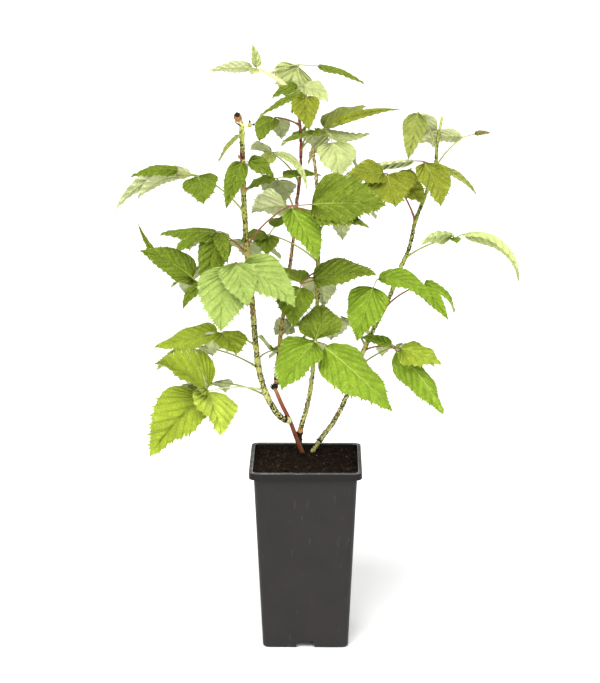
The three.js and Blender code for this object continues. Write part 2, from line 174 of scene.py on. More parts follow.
# One compound leaf a row: its height on its cane, its stalk (length, heading, rise), the tone of
# all its leaflets or of each, and its leaflets as the fields of Leaflet, the end one first.
LEAF_PLAN = {
    "cane_left": [
        (268, (84, 140, 0), "mid", trefoil(125, 52)),
        (275, (67, 204, 5), "sun bright sun", [
            (84, 64, 208, -43, 38, 8, 4, 34), (52, 58, 294, -46, 15, 2),
            (67, 62, 202, 31, 47, 2, 24, 36),
        ]),
        (300, (80, 150, 10), "fresh", trefoil(130, 54)),
        (310, (26, 55, 10), "fresh", [(26, 26, 123, 19, -45, 3), (46, 40, 45, -25, 0, 3)]),
        (325, (44, 205, 25), "sun", [
            (77, 34, 158, -17, 40, 5, 8), (35, 44, 299, -29, 0, 3), (41, 36, 107, -43, 0, 3),
        ]),
        (355, (88, 250, 55), "spring", [
            (54, 40, 290, -45, 0, 3), (66, 58, 248, -62, 25, 10), (70, 46, 345, -35, -45, 8),
        ]),
        (375, (58, 205, 20), "deep", [
            (63, 36, 180, 27, 50, 16), (37, 14, 225, -34, 50, 2, 80), (98, 11, 152, 39, 60, 8, -44),
        ]),
        (385, (66, 135, 15), "mid", trefoil(125, 50)),
        (408, (62, 92, 20), "deep", trefoil(90, 50)),
        (425, (60, 140, 15), "fresh", trefoil(120, 50)),
        (425, (39, 195, 40), "deep deep mid", [
            (60, 34, 191, -1, 14, 4, 24, -16), (60, 34, 239, -60, 30, 2), (46, 16, 284, -33, 0, 2),
        ]),
        (434, (68, 340, 44), "mid fresh mid mid", [
            (79, 64, 345, 2, -44, 24, 8), (64, 42, 311, -49, -10, 5), (47, 44, 146, -15, -50, 4),
            (66, 28, 338, -12, -30, 24, 8),
        ]),
        (470, (64, 185, 40), "deep deep mid deep deep", [
            (99, 22, 165, -27, -50, 8, 64), (40, 38, 283, -36, -20, 3), (36, 14, 82, -47, 0, 3),
            (53, 20, 168, -31, -44, 22, 50), (51, 20, 196, -6, 25, 22, 44, -5),
        ]),
        (495, (40, 272, 60), "deep", [
            (52, 22, 232, -60, 35, 3), (32, 22, 3, -33, -40, 5), (50, 24, 119, -59, 0, 5),
        ]),
        (555, (6, 265, -10), "soft", [(36, 12, 190, -51, 10, 2)]),
    ],
    "cane_tall": [
        (330, (26, 55, 20), "mid", [(46, 44, 50, -20, 0, 3), (28, 26, 140, -30, -50, 3)]),
        (460, (54, 230, 55), "mid", [
            (34, 26, 200, -20, 10, 2), (42, 22, 15, -1, -10, 7), (46, 38, 85, -45, 0, 8),
        ]),
        (495, (48, 215, 45), "young deep soft", [
            (60, 10, 325, -40, -30, 2, 90), (27, 30, 148, 4, -30, 2), (30, 16, 240, -30, 20, 2),
        ]),
        (528, (58, 80, 15), "mid", trefoil(85, 44)),
        (529, (32, 0, 45), "soft olive young", [
            (54, 30, 27, 21, -20, 3), (82, 11, 355, 14, -60, 6), (54, 22, 23, -8, -20, 3, -20, -20),
        ]),
        (555, (29, 192, 20), "mid", [(34, 26, 234, -41, 10, 2), (33, 24, 77, -49, 0, 6)]),
        (565, (34, 291, 53), "olive mid olive", [
            (40, 30, 277, -52, 0, 5), (53, 14, 193, -26, 20, 3), (25, 16, 212, -51, 0, 2),
        ]),
        (580, (20, 310, 70), "young mid", [(36, 26, 325, -25, -20, 2), (30, 16, 197, -23, 30, 5)]),
        (610, (36, 28, 14), "mid young", [(56, 20, 336, -18, -10, 22, 36, -8), (36, 43, 181, -70, 84, 2)]),
        (614, (8, 179, 15), "young", [
            (26, 11, 200, 77, 80, 2), (47, 17, 196, -2, -60, 5), (13, 12, 248, -19, 20, 2),
        ]),
    ],
    "cane_middle": [
        (275, (99, 274, 44), "fresh fresh mid", [
            (98, 60, 339, -39, -27, 12, 24, -5), (62, 64, 211, -51, 4, 2, 30), (55, 44, 84, 28, 0, 2),
        ]),
        (300, (72, 100, 10), "mid", trefoil(95, 54)),
        (405, (32, 235, -15), "mid deep mid", [
            (67, 42, 350, 7, -28, 14), (47, 40, 258, -48, 15, 6), (52, 30, 115, 5, 0, 2),
        ]),
        (415, (36, 95, -40), "mid", [(50, 28, 100, -45, 0, 4), (56, 32, 80, -45, 0, 5)]),
        (415, (62, 160, 25), "mid", [
            (30, 26, 205, -10, 15, 3), (24, 26, 265, -45, 10, 3), (26, 18, 65, 15, 0, 13),
        ]),
        (445, (76, 65, 25), "mid", [
            (51, 34, 96, -71, 0, 8), (45, 30, 31, -39, 0, 5), (44, 30, 134, -36, 0, 5),
        ]),
        (535, (24, 3, 40), "deep young young young", [
            (52, 18, 202, -8, 10, 4), (38, 44, 294, -67, 0, 10), (32, 28, 6, -56, -20, 15),
            (41, 18, 141, -51, 0, 5),
        ]),
    ],
    "cane_right": [
        (295, (56, 30, 20), "fresh", trefoil(60, 48)),
        (315, (42, 320, 14), "sun fresh fresh", [
            (47, 44, 344, -18, -22, 8, 24, -6), (84, 40, 324, -45, -30, 6, 10, -36),
            (44, 14, 141, 3, 30, 3),
        ]),
        (320, (74, 112, 12), "mid", trefoil(100, 54)),
        (360, (56, 330, 35), "fresh", [(49, 18, 314, -39, -40, 2), (50, 20, 15, -44, -30, 3, 70)]),
        (385, (48, 245, 20), "fresh", [(59, 50, 227, -65, 8, 10), (67, 30, 343, -24, -25, 2, 70)]),
        (415, (60, 345, 25), "clear clear fresh", [
            (97, 26, 340, -38, 42, 10, 130, -50), (44, 26, 208, -11, -42, 4, 100, -50),
            (13, 12, 277, -16, 0, 2),
        ]),
        (455, (68, 215, 55), "olive", [
            (43, 56, 283, -40, -5, 4), (47, 34, 211, -4, 35, 4), (44, 36, 345, -40, -35, 8),
        ]),
        (480, (66, 104, 14), "mid", trefoil(105, 50)),
        (500, (40, 251, 38), "olive soft olive", [
            (51, 40, 301, -53, 0, 4), (46, 9, 11, -39, -60, 25, 34),
            (81, 14, 155, -15, -42, 11, 24, -50),
        ]),
        (508, (52, 336, 50), "rust young", [(18, 6, 351, 4, -60, 12), (56, 22, 149, -12, -50, 3)]),
        (530, (52, 218, 59), "soft young", [(53, 26, 250, -56, 0, 3), (60, 28, 67, -44, 0, 6)]),
    ],
}


def leaves_of(stem):
    """The compound leaves of a cane, from the lowest up."""
    leaves = []
    for rank, (height, stalk, tones, rows) in enumerate(LEAF_PLAN[stem], 1):
        name = f"{stem.replace('cane', 'leaf')}_{rank:02d}"
        words = tones.split()
        words = words * len(rows) if len(words) == 1 else words
        leaves.append(Leaf(name, stem, height, stalk, [Leaflet(*row) for row in rows], words))
    return leaves


LEAVES = {stem: leaves_of(stem) for stem in LEAF_PLAN}


# ---------------------------------------------------------------- settings in the sidebar

def srgb(red, green, blue):
    """A colour as light, from its values of 0 to 255 on a screen."""
    return tuple(((value / 255 + 0.055) / 1.055) ** 2.4 for value in (red, green, blue))


def length(name, description, default):
    return FloatProperty(name=name, description=description, default=default, unit="LENGTH", precision=4)


def share(name, description, default):
    return FloatProperty(name=name, description=description, default=default, min=0, max=1, subtype="FACTOR")


def angle(name, description, degrees):
    return FloatProperty(name=name, description=description, default=math.radians(degrees), unit="ROTATION")


def number(name, description, default, least=0):
    return FloatProperty(name=name, description=description, default=default, min=least)


def count(name, description, default, least=0):
    return IntProperty(name=name, description=description, default=default, min=least)


def paint(name, description, *screen):
    return FloatVectorProperty(
        name=name, description=description, default=srgb(*screen), size=3, min=0, max=1, subtype="COLOR"
    )


class PotSettings(bpy.types.PropertyGroup):
    """The moulded pot."""

    rim_height: length("Rim height", "Height of the band round the mouth", 7.5 * MM)
    rim_face: length("Rim face", "Width of the flat top of the rim", 4 * MM)
    overhang: length("Overhang", "How far the rim stands out over the wall", 5 * MM)
    foot_half: length("Foot", "Half the width of the pot just above the floor", 46 * MM)
    wall: length("Wall", "Thickness of the wall", 1.5 * MM)
    corner: length("Corner radius", "Radius of the rim's four corners", 7 * MM)
    notch_width: length("Notch width", "Width of a drainage channel at the floor", 20 * MM)
    notch_height: length("Notch height", "Height of a drainage channel", 7.5 * MM)
    notch_depth: length("Notch depth", "How far a drainage channel runs in", 26 * MM)
    softness: length("Edge radius", "Radius of the moulded edges", 0.7 * MM)
    plastic: paint("Plastic", "Colour of the pot", 34, 32, 31)
    # This colour serves for scuffs and also for the painted highlight along the rim.
    worn: paint("Worn plastic", "Colour where the plastic is scuffed", 128, 126, 124)


class CompostSettings(bpy.types.PropertyGroup):
    """The compost in the pot."""

    crown_x: length("Crown X", "Place of the heap's highest point", -1 * MM)
    crown_y: length("Crown Y", "Place of the heap's highest point", 25 * MM)
    crown_flat: share("Flat crown", "Share of the heap that is level", 0.3)
    edge_level: length("Edge level", "Height of the compost at the wall", 196 * MM)
    lump: length("Lumps", "Height of the lumps", 2.2 * MM)
    cells: count("Cells", "Cells across the surface", 130, 8)
    crumbs: count("Crumbs", "How many loose crumbs lie on it", 3600)
    crumb: length("Crumb size", "Radius of a middling crumb", 0.75 * MM)
    fibres: count("Fibres", "How many bits of root and straw lie on it", 90)
    peat: paint("Peat", "Main colour of the compost", 26, 17, 11)
    bark: paint("Bark bits", "Colour of the paler bits", 62, 48, 30)
    grit: paint("Grit", "Colour of the pale specks", 170, 160, 136)


class BarkSettings(bpy.types.PropertyGroup):
    """The stems."""

    sides: count("Sides", "Sides of a stem's section", 18, 6)
    step: length("Step", "Distance between a stem's rings", 1.6 * MM)
    swelling: share("Swelling", "How much a stem swells under a leaf", 0.3)
    ridges: share("Ridges", "Depth of the ridges as a share of the radius", 0.05)
    prickle_area: number("Area a prickle", "Square millimetres of bark for each prickle", 1.7, 1)
    prickle: length("Prickle length", "How far a prickle stands out", 0.75 * MM)
    pale: paint("Pale bark", "Green shoot's colour near its foot", 188, 187, 114)
    green: paint("Green bark", "Green shoot's colour higher up", 138, 152, 58)
    ripe: paint("Ripening bark", "Where a shoot turns brown", 150, 112, 72)
    red: paint("Red bark", "Where a shoot is young and red", 132, 34, 40)
    old: paint("Old bark", "Last year's stem", 138, 66, 42)
    speck: paint("Specks", "Prickles and specks", 24, 16, 8)
    char: paint("Dead bark", "Black stubs and collars", 40, 30, 22)


class LeafSettings(bpy.types.PropertyGroup):
    """The leaves."""

    thickness: length("Thickness", "Thickness of a blade", 0.4 * MM)
    vein_gap: length("Vein gap", "Distance between side veins along a blade", 7.2 * MM)
    pleat: share("Pleats", "Height of a pleat as a share of the vein gap", 0.3)
    tooth: share("Teeth", "Length of a small tooth as a share of the width", 0.026)
    fold: angle("Fold", "Fold up along the midrib", 14)
    arch: share("Arch", "How far the halves bow back down", 0.3)
    ruffle: share("Ruffle", "Waves along the edge as a share of the width", 0.035)
    # Painted shade: the furrows over the side veins are darkened.
    furrow: share("Furrows", "Brightness of the furrows over the side veins", 0.93)
    # Painted highlight: the ridges between the veins are lightened.
    ridge: number("Ridges", "Brightness of the ridges between veins", 1.05)
    glow: share("Glow", "Share of light that shines through", 0.15)
    sun: paint("Sunlit leaf", "Lowest leaves", 142, 160, 36)
    bright: paint("Bright leaf", "Thin leaves with light behind them", 168, 186, 62)
    # Painted light: the clear tone is pale to stand for light shining through these thin leaves.
    clear: paint("Clear leaf", "Palest of the thin leaves", 196, 212, 132)
    spring: paint("Spring leaf", "Pale fresh leaves", 148, 170, 84)
    fresh: paint("Fresh leaf", "Middle leaves", 118, 148, 24)
    mid: paint("Grown leaf", "Upper leaves", 98, 118, 12)
    deep: paint("Deep leaf", "Darkest leaves", 92, 114, 2)
    olive: paint("Olive leaf", "Leaves that turn brownish", 122, 132, 24)
    young: paint("Young leaf", "Leaves at the shoot's tip", 178, 188, 124)
    soft: paint("Soft leaf", "Half-grown leaves near a shoot's tip", 138, 148, 68)
    rust: paint("Rusty leaf", "A leaf still rolled up in its brown scales", 118, 108, 60)
    felt: paint("Felted underside", "Underside of every leaf", 208, 214, 162)
    vein: paint("Vein", "Veins on the upper side", 180, 196, 100)
    stalk: paint("Stalk", "Green stalks", 152, 156, 84)
    blush: paint("Blushed stalk", "Reddish stalks", 128, 82, 52)


class StageSettings(bpy.types.PropertyGroup):
    """Floor, light and camera."""

    distance: length("Distance", "How far the camera stands in front", 2.4)
    eye: length("Eye height", "Height of the camera over the floor", 0.908)
    aside: length("Aside", "How far the camera stands to the right", 0.0177)
    tilt: angle("Tilt", "Angle of the camera's view from straight down", 76.44)
    turn: angle("Turn", "How far the camera turns to the left", 0.572)
    lens: number("Lens", "Focal length in millimetres", 122.1, 1)
    sky: number("Sky", "Strength of the light from all round", 0.7)
    key: number("Key light", "Strength of the large light in front", 4.6)
    key_width: angle("Key width", "How wide the key light looks", 44)
    key_height: angle("Key height", "Angle of the key light over the floor", 52)
    key_side: angle("Key side", "Angle of the key light to the left", 16)
    fill: number("Fill light", "Strength of the low light on the right", 1.3)
    fill_height: angle("Fill height", "Angle of the low light over the floor", 14)
    low: number("Low light", "Watts of the panel that lights from below", 6)
    low_tilt: angle("Low tilt", "How far the low panel leans towards the plant", 50)
    floor: paint("Floor", "Colour of the floor", 240, 240, 240)


SETTINGS = {
    "raspberry_pot": PotSettings,
    "raspberry_compost": CompostSettings,
    "raspberry_bark": BarkSettings,
    "raspberry_leaf": LeafSettings,
    "raspberry_stage": StageSettings,
}


# ---------------------------------------------------------------- finishes

class Wire:
    """A socket of a finish, on which Python's arithmetic adds Math nodes."""

    def __init__(self, finish, socket):
        self.finish = finish
        self.socket = socket

    def maths(self, operation, *terms):
        return self.finish.node("ShaderNodeMath", {"operation": operation}, dict(enumerate(terms)))

    def __add__(self, other):
        return self.maths("ADD", self, other)

    __radd__ = __add__

    def __sub__(self, other):
        return self.maths("SUBTRACT", self, other)

    def __rsub__(self, other):
        return self.maths("SUBTRACT", other, self)

    def __mul__(self, other):
        return self.maths("MULTIPLY", self, other)

    __rmul__ = __mul__


class Finish:
    """A material that is built up node by node."""

    def __init__(self, name):
        self.material = bpy.data.materials.new(name)
        self.material.use_nodes = True
        self.tree = self.material.node_tree
        self.shader = self.tree.nodes["Principled BSDF"]
        self.place = self.node("ShaderNodeTexCoord", output="Object")

    def node(self, kind, settings=None, inputs=None, output=0):
        """Adds a node with its settings first, then the values or links of its sockets."""
        made = self.tree.nodes.new(kind)
        for name, value in (settings or {}).items():
            if name == "stops":
                self.lay_stops(made.color_ramp, value)
            else:
                setattr(made, name, value)
        for name, value in (inputs or {}).items():
            self.feed(made.inputs[name], value)
        return Wire(self, made.outputs[output])

    def lay_stops(self, ramp, stops):
        for place, colour in stops[2:]:
            ramp.elements.new(place)
        for element, (place, colour) in zip(ramp.elements, stops):
            element.position = place
            element.color = (*colour, 1)

    def feed(self, socket, value):
        if isinstance(value, Wire):
            self.tree.links.new(value.socket, socket)
        elif isinstance(value, (tuple, list)) and len(value) == 3 and socket.type == "RGBA":
            socket.default_value = (*value, 1)
        else:
            socket.default_value = value

    def clouds(self, scale, detail=3, roughness=0.55, stretch=(1, 1, 1)):
        """Soft noise in 0..1, with scale in patches a metre."""
        place = self.node("ShaderNodeMapping", inputs={"Vector": self.place, "Scale": stretch})
        return self.node("ShaderNodeTexNoise", inputs={
            "Vector": place, "Scale": scale, "Detail": detail, "Roughness": roughness,
        })

    def cells(self, scale, feature="F1", stretch=(1, 1, 1)):
        """Distance in a field of cells, with scale in cells a metre."""
        place = self.node("ShaderNodeMapping", inputs={"Vector": self.place, "Scale": stretch})
        return self.node("ShaderNodeTexVoronoi", {"feature": feature}, {"Vector": place, "Scale": scale},
                         output="Distance")

    def between(self, value, low, high):
        """0 under low, 1 over high, and smooth in between."""
        return self.node("ShaderNodeMapRange", {"interpolation_type": "SMOOTHSTEP"}, {
            "Value": value, "From Min": low, "From Max": high,
        })

    def mix(self, factor, first, second):
        return self.node("ShaderNodeMix", {"data_type": "RGBA"}, {0: factor, 6: first, 7: second}, output=2)

    def height(self):
        """Height over the floor, in metres."""
        return self.node("ShaderNodeSeparateXYZ", inputs={"Vector": self.place}, output="Z")

    def out(self):
        """How far out from the middle of the pot, along X or Y, in metres."""
        inputs = {"Vector": self.place}
        axes = [self.node("ShaderNodeSeparateXYZ", inputs=inputs, output=axis) for axis in "XY"]
        x, y = (axis.maths("ABSOLUTE", axis) for axis in axes)
        return x.maths("MAXIMUM", x, y)

    def bump(self, height, distance):
        relief = self.node("ShaderNodeBump", inputs={"Height": height, "Distance": distance, "Strength": 1})
        self.feed(self.shader.inputs["Normal"], relief)

    def surface(self, colour, roughness, **uniform):
        """Feeds the shader. The uniform values are set on its own sockets."""
        self.feed(self.shader.inputs["Base Color"], colour)
        self.feed(self.shader.inputs["Roughness"], roughness)
        for name, value in uniform.items():
            self.shader.inputs[name.replace("_", " ")].default_value = value
        return self.material

    def shine_through(self, colour, amount):
        """Lets a share of the light through a thin blade."""
        glow = self.node("ShaderNodeBsdfTranslucent", inputs={"Color": colour})
        body = Wire(self, self.shader.outputs[0])
        both = self.node("ShaderNodeMixShader", inputs={0: amount, 1: body, 2: glow})
        self.feed(self.tree.nodes["Material Output"].inputs["Surface"], both)


WHITE = (1, 1, 1)
LIME = (1, 1, 0.35)
CREAM = (1, 1, 0.6)
ORANGE = (0.8, 0.36, 0.08)
RUST = (0.36, 0.15, 0.02)
DOWN_STREAKS = (1, 1, 0.12)
DULL = 0.08
GLOSSY = 0.35

# How much of its upper side's colour a leaf's felt takes on, by tone
FELT_DEPTH = {"clear": 0.4, "deep": 0.24, "mid": 0.22, "fresh": 0.14}
FELT_LEAST = 0.1


def blend(first, second, amount):
    """A colour part of the way from the first to the second."""
    return tuple(a + (b - a) * amount for a, b in zip(first, second))


def shade(colour, amount):
    return tuple(value * amount for value in colour)


def pot_plastic(settings):
    """Scuffed dark plastic, darkest on the band round the mouth with painted shade, and pale along the rim's
    top and inner edge with a painted highlight in dusty patches.
    """
    finish = Finish("pot_plastic")
    plastic, worn = tuple(settings.plastic), tuple(settings.worn)
    shoulder = POT_HIGH.z - settings.rim_height
    lip = POT_HIGH.x - settings.rim_face
    patches = finish.between(finish.clouds(26, 4), 0.35, 0.7)
    scuffs = finish.between(finish.clouds(320, 5, 0.7, DOWN_STREAKS), 0.6, 0.78)
    # Dusty patches, which also break up the painted highlight on the rim.
    dust_and_glint = finish.between(finish.clouds(90, 5, 0.65), 0.5, 0.75)
    # Where the band round the mouth, and everything above it, gets painted shade.
    band = finish.between(finish.height(), shoulder - 0.7 * MM, shoulder + 0.5 * MM)
    rim = finish.between(finish.height(), POT_HIGH.z - 0.9 * MM, POT_HIGH.z - 0.3 * MM)
    # Where the rim's inner edge gets its painted highlight.
    inside = finish.between(finish.out(), lip + 1.1 * MM, lip + 0.5 * MM)
    colour = finish.mix(patches * 0.5, plastic, shade(plastic, 1.25))
    colour = finish.mix(scuffs * 0.18, colour, worn)
    # Painted shade: the band round the mouth is darkened.
    colour = finish.mix(band * 0.75, colour, shade(plastic, 0.2))
    # The rim's top is lightened: a painted highlight mixed with dusty patches.
    colour = finish.mix(rim * (0.22 + 0.6 * dust_and_glint), colour, worn)
    # Painted highlight along the rim's inner edge.
    colour = finish.mix(rim * inside * (0.25 + 0.75 * dust_and_glint), colour, blend(worn, WHITE, 0.3))
    finish.bump(finish.clouds(2600, 2) * 0.5 + finish.clouds(60, 2), 0.12 * MM)
    return finish.surface(colour, 0.4 + 0.14 * patches + 0.1 * scuffs, Specular_IOR_Level=0.13)


def crumbly(name, colour, second):
    """Peat and the bits in it."""
    finish = Finish(name)
    grain = finish.clouds(900, 5, 0.7)
    patches = finish.clouds(110, 3)
    mixed = finish.mix(finish.between(grain, 0.35, 0.7), shade(colour, 0.55), colour)
    mixed = finish.mix(finish.between(patches, 0.5, 0.72) * 0.5, mixed, second)
    finish.bump(grain, 0.5 * MM)
    return finish.surface(mixed, 0.95, Specular_IOR_Level=0.1)


def bark(name, stops, specks, dyes):
    """Bark whose colour changes with height, dotted with dark specks. stops: (height in mm, colour)."""
    finish = Finish(name)
    low, high = stops[0][0], stops[-1][0]
    climb = finish.node("ShaderNodeMapRange", inputs={
        "Value": finish.height() + 0.02 * (finish.clouds(70, 2) - 0.5),
        "From Min": low * MM, "From Max": high * MM,
    })
    laid = [((z - low) / (high - low), colour) for z, colour in stops]
    colour = finish.node("ShaderNodeValToRGB", {"stops": laid}, {"Fac": climb})
    streaks = finish.between(finish.clouds(420, 4, 0.6, (1, 1, 0.1)), 0.35, 0.7)
    colour = finish.mix(streaks * 0.3, colour, tuple(dyes.ripe))
    spots = 1 - finish.between(finish.cells(350, stretch=(1, 1, 0.8)), 0.27, 0.34)
    colour = finish.mix(spots * specks, colour, tuple(dyes.speck))
    finish.bump(streaks + 0.8 * spots, 0.12 * MM)
    return finish.surface(colour, 0.5 + 0.15 * streaks, Specular_IOR_Level=0.25)


def plain_bark(name, colour, roughness, gloss):
    finish = Finish(name)
    grain = finish.clouds(800, 4, 0.65, (1, 1, 0.4))
    mixed = finish.mix(finish.between(grain, 0.35, 0.7), shade(colour, 0.65), shade(colour, 1.15))
    finish.bump(grain, 0.2 * MM)
    return finish.surface(mixed, roughness, Specular_IOR_Level=gloss)


def leaf_skin(name, colour, glow, roughness, network):
    """A blade's skin: mottled, finely wrinkled between the veins, and lit through from behind."""
    finish = Finish(name)
    patches = finish.between(finish.clouds(105, 3), 0.32, 0.68)
    mottle = finish.between(finish.clouds(430, 4, 0.62), 0.34, 0.66)
    net = finish.between(finish.cells(360, "DISTANCE_TO_EDGE"), 0.0, 0.2)
    mixed = finish.mix(patches, shade(colour, 0.84), shade(colour, 1.14))
    mixed = finish.mix((1 - mottle) * 0.5, mixed, shade(colour, 0.62))
    mixed = finish.mix((1 - net) * 0.3 * network, mixed, blend(colour, LIME, 0.3))
    finish.bump(net * network + 0.6 * mottle, 0.5 * MM)
    finish.surface(mixed, roughness + 0.12 * patches, Specular_IOR_Level=0.13)
    finish.shine_through(shade(colour, 1.3), glow)
    return finish.material


def bark_rules(dyes):
    """For each stem, its colours at heights in millimetres, and how plainly its specks show."""
    names = ("pale", "green", "ripe", "red", "old")
    pale, green, ripe, red, old = (tuple(getattr(dyes, name)) for name in names)
    return {
        "old_stem": ([(199, shade(old, 0.4)), (238, shade(old, 0.7)), (262, old), (275, ripe)], 0.2),
        "cane_left": ([
            (238, pale), (330, blend(pale, green, 0.6)), (430, blend(green, ripe, 0.4)), (490, green),
            (502, blend(ripe, red, 0.3)), (534, shade(blend(ripe, red, 0.4), 0.7)),
            (540, blend(green, pale, 0.1)), (562, blend(green, pale, 0.25)),
        ], 0.9),
        "cane_tall": ([
            (275, ripe), (300, blend(green, ripe, 0.5)), (430, ripe), (500, blend(ripe, red, 0.5)),
            (530, red), (575, blend(ripe, red, 0.6)), (592, pale),
        ], 0.45),
        "cane_middle": ([
            (199, ripe), (240, pale), (330, green), (420, blend(green, ripe, 0.35)),
            (480, blend(pale, ripe, 0.3)), (535, blend(pale, ripe, 0.5)),
        ], 0.7),
        "cane_right": ([
            (199, pale), (330, blend(pale, green, 0.5)), (450, green), (505, shade(green, 0.8)),
            (545, green), (567, blend(green, pale, 0.6)),
        ], 0.85),
    }


def bit_colours(dyes):
    """The colours of the small parts on the stems."""
    ripe = tuple(dyes.ripe)
    return {
        "dead": tuple(dyes.char), "speck": tuple(dyes.speck), "scar": ripe, "husk": blend(ripe, RUST, 0.6),
        "ring": blend(ripe, ORANGE, 0.6), "shoot": blend(tuple(dyes.pale), CREAM, 0.3),
    }


class Palette:
    """Every finish of the plant, each made when it is first asked for."""

    def __init__(self, scene):
        self.leaf = scene.raspberry_leaf
        self.dyes = scene.raspberry_bark
        self.made = {}

    def __call__(self, name):
        if name not in self.made:
            self.made[name] = self.make(name)
        return self.made[name]

    def make(self, name):
        kind, _, tone = name.partition("_")
        if kind == "bark":
            return bark(name, *bark_rules(self.dyes)[tone], self.dyes)
        if kind == "stalk":
            return plain_bark(name, tuple(getattr(self.leaf, tone)), 0.5, GLOSSY)
        if tone:
            return self.skin(name, kind, tuple(getattr(self.leaf, tone)), FELT_DEPTH.get(tone, FELT_LEAST))
        gloss = DULL if name in ("dead", "speck") else GLOSSY
        return plain_bark(name, bit_colours(self.dyes)[name], 0.6, gloss)

    def skin(self, name, kind, colour, depth):
        """The skin of one kind of face on a blade. depth: how much of its colour the felt takes on."""
        leaf = self.leaf
        felt = blend(tuple(leaf.felt), colour, depth)
        dye, roughness, network = {
            "blade": (colour, 0.46, 1.0),
            # Faces by the side veins are darkened as painted shade.
            "furrow": (shade(colour, leaf.furrow), 0.6, 0.2),
            # Faces on the crests between the veins are lightened as a painted highlight.
            "ridge": (shade(colour, leaf.ridge), 0.46, 1.0),
            "vein": (blend(colour, tuple(leaf.vein), 0.5), 0.45, 0.2),
            "felt": (felt, 0.8, 0.5),
            "rib": (blend(felt, tuple(leaf.stalk), 0.5), 0.6, 0.2),
        }[kind]
        return leaf_skin(name, dye, leaf.glow, roughness, network)


# ---------------------------------------------------------------- making meshes

DOUBLE = 2e-6


class Sheaf:
    """Many small closed shapes, joined into one mesh with a finish for each face."""

    def __init__(self, name, palette):
        self.name = name
        self.palette = palette
        self.points = []
        self.faces = []
        self.slots = []
        self.names = []
        self.count = 0

    def slot_of(self, finish):
        if finish not in self.names:
            self.names.append(finish)
        return self.names.index(finish)

    def add(self, points, faces, finish):
        """Adds points in millimetres, and faces that all take one finish or each its own."""
        names = [finish] * len(faces) if isinstance(finish, str) else finish
        lookup = {name: self.slot_of(name) for name in dict.fromkeys(names)}
        self.points.append(np.asarray(points, float) * MM)
        self.faces.extend([tuple(int(corner) + self.count for corner in face) for face in faces])
        self.slots.extend(lookup[name] for name in names)
        self.count += len(points)

    def make(self, smooth):
        """Makes the piece, with its doubles merged and its creases kept over `smooth` degrees."""
        mesh = bpy.data.meshes.new(self.name)
        mesh.from_pydata(np.concatenate(self.points).tolist(), [], self.faces)
        for name in self.names:
            mesh.materials.append(self.palette(name))
        mesh.polygons.foreach_set("material_index", self.slots)
        piece = bpy.data.objects.new(self.name, mesh)
        bpy.context.scene.collection.objects.link(piece)
        shape = bmesh.new()
        shape.from_mesh(mesh)
        bmesh.ops.remove_doubles(shape, verts=shape.verts, dist=DOUBLE)
        shape.to_mesh(mesh)
        shape.free()
        select_only(piece)
        bpy.ops.object.shade_smooth_by_angle(angle=math.radians(smooth))
        return piece


def added(add, name, **fields):
    """Adds a primitive, light or camera at its size and place, with nothing else selected."""
    bpy.ops.object.select_all(action="DESELECT")
    add(**fields)
    piece = bpy.context.active_object
    piece.name = name
    return piece


def select_only(piece):
    bpy.ops.object.select_all(action="DESELECT")
    piece.select_set(True)
    bpy.context.view_layer.objects.active = piece


def turn_outward():
    """Turns every face of the piece in edit mode outward, and leaves edit mode."""
    bpy.ops.mesh.select_all(action="SELECT")
    bpy.ops.mesh.normals_make_consistent(inside=False)
    bpy.ops.object.mode_set(mode="OBJECT")


def coat(piece, material, smooth):
    """Gives the active piece one material, and keeps its creases over `smooth` degrees."""
    bpy.ops.object.shade_smooth_by_angle(angle=math.radians(smooth))
    piece.data.materials.clear()
    piece.data.materials.append(material)


def settle(piece, slot, *nodes):
    """Fixes a finished piece to the plant and hides the nodes that it stands for. Its finish slot is not
    used.
    """
    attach(piece, "root")
    if nodes:
        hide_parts(*nodes)


def unit(vectors):
    return vectors / np.linalg.norm(vectors, axis=-1, keepdims=True)


def direction(heading, rise):
    h = math.radians(heading)
    r = math.radians(rise)
    return np.array([math.cos(h) * math.cos(r), math.sin(h) * math.cos(r), math.sin(r)])


def arc(start, size, heading, rise, bend, shares):
    """Points along a limb that sets out bend / 2 above its rise and ends as far below it."""
    turn = math.radians(bend) or 1e-9
    first = math.radians(rise) + turn / 2
    slope = first - turn * np.asarray(shares, float)
    out = size * (math.sin(first) - np.sin(slope)) / turn
    up = size * (np.cos(slope) - math.cos(first)) / turn
    return np.asarray(start) + np.outer(out, direction(heading, 0)) + np.outer(up, (0, 0, 1))


def ring_angles(sides):
    return 2 * math.pi * np.arange(sides) / sides


def tube(points, radii, sides, level_ends=False):
    """Points and faces of a closed tube. radii: one a ring, or one for each point of each ring."""
    points = np.asarray(points, float)
    along = unit(np.gradient(points, axis=0))
    if level_ends:
        along[0] = along[-1] = (0, 0, 1)
    radii = np.asarray(radii, float)
    radii = radii[:, None] if radii.ndim == 1 else radii
    turns = ring_angles(sides)
    across = np.cross(along[0], (0, 1, 0) if abs(along[0][1]) < 0.9 else (1, 0, 0))
    rings = []
    for place, forward, radius in zip(points, along, radii):
        across = unit(across - forward * (across @ forward))
        beside = np.cross(forward, across)
        ring = np.outer(np.cos(turns), across) + np.outer(np.sin(turns), beside)
        rings.append(place + ring * radius[:, None])
    last = (len(points) - 1) * sides
    starts = np.arange(0, last, sides)[:, None]
    first = starts + np.arange(sides)
    second = starts + (np.arange(sides) + 1) % sides
    faces = np.stack([first, second, second + sides, first + sides], -1).reshape(-1, 4).tolist()
    faces.append(list(range(sides))[::-1])
    faces.append(list(range(last, last + sides)))
    return np.concatenate(rings), faces


# ---------------------------------------------------------------- stems

RIDGE_COUNT = 5
RIDGE_TWIST = 0.02
SWELL_DROP = 1.0
SWELL_REACH = 3.2
SLEEVE_SIDES = 14
SLEEVE_STEP = 0.8
SPINDLE_RINGS = 7
SPINDLE_POINT = 0.04


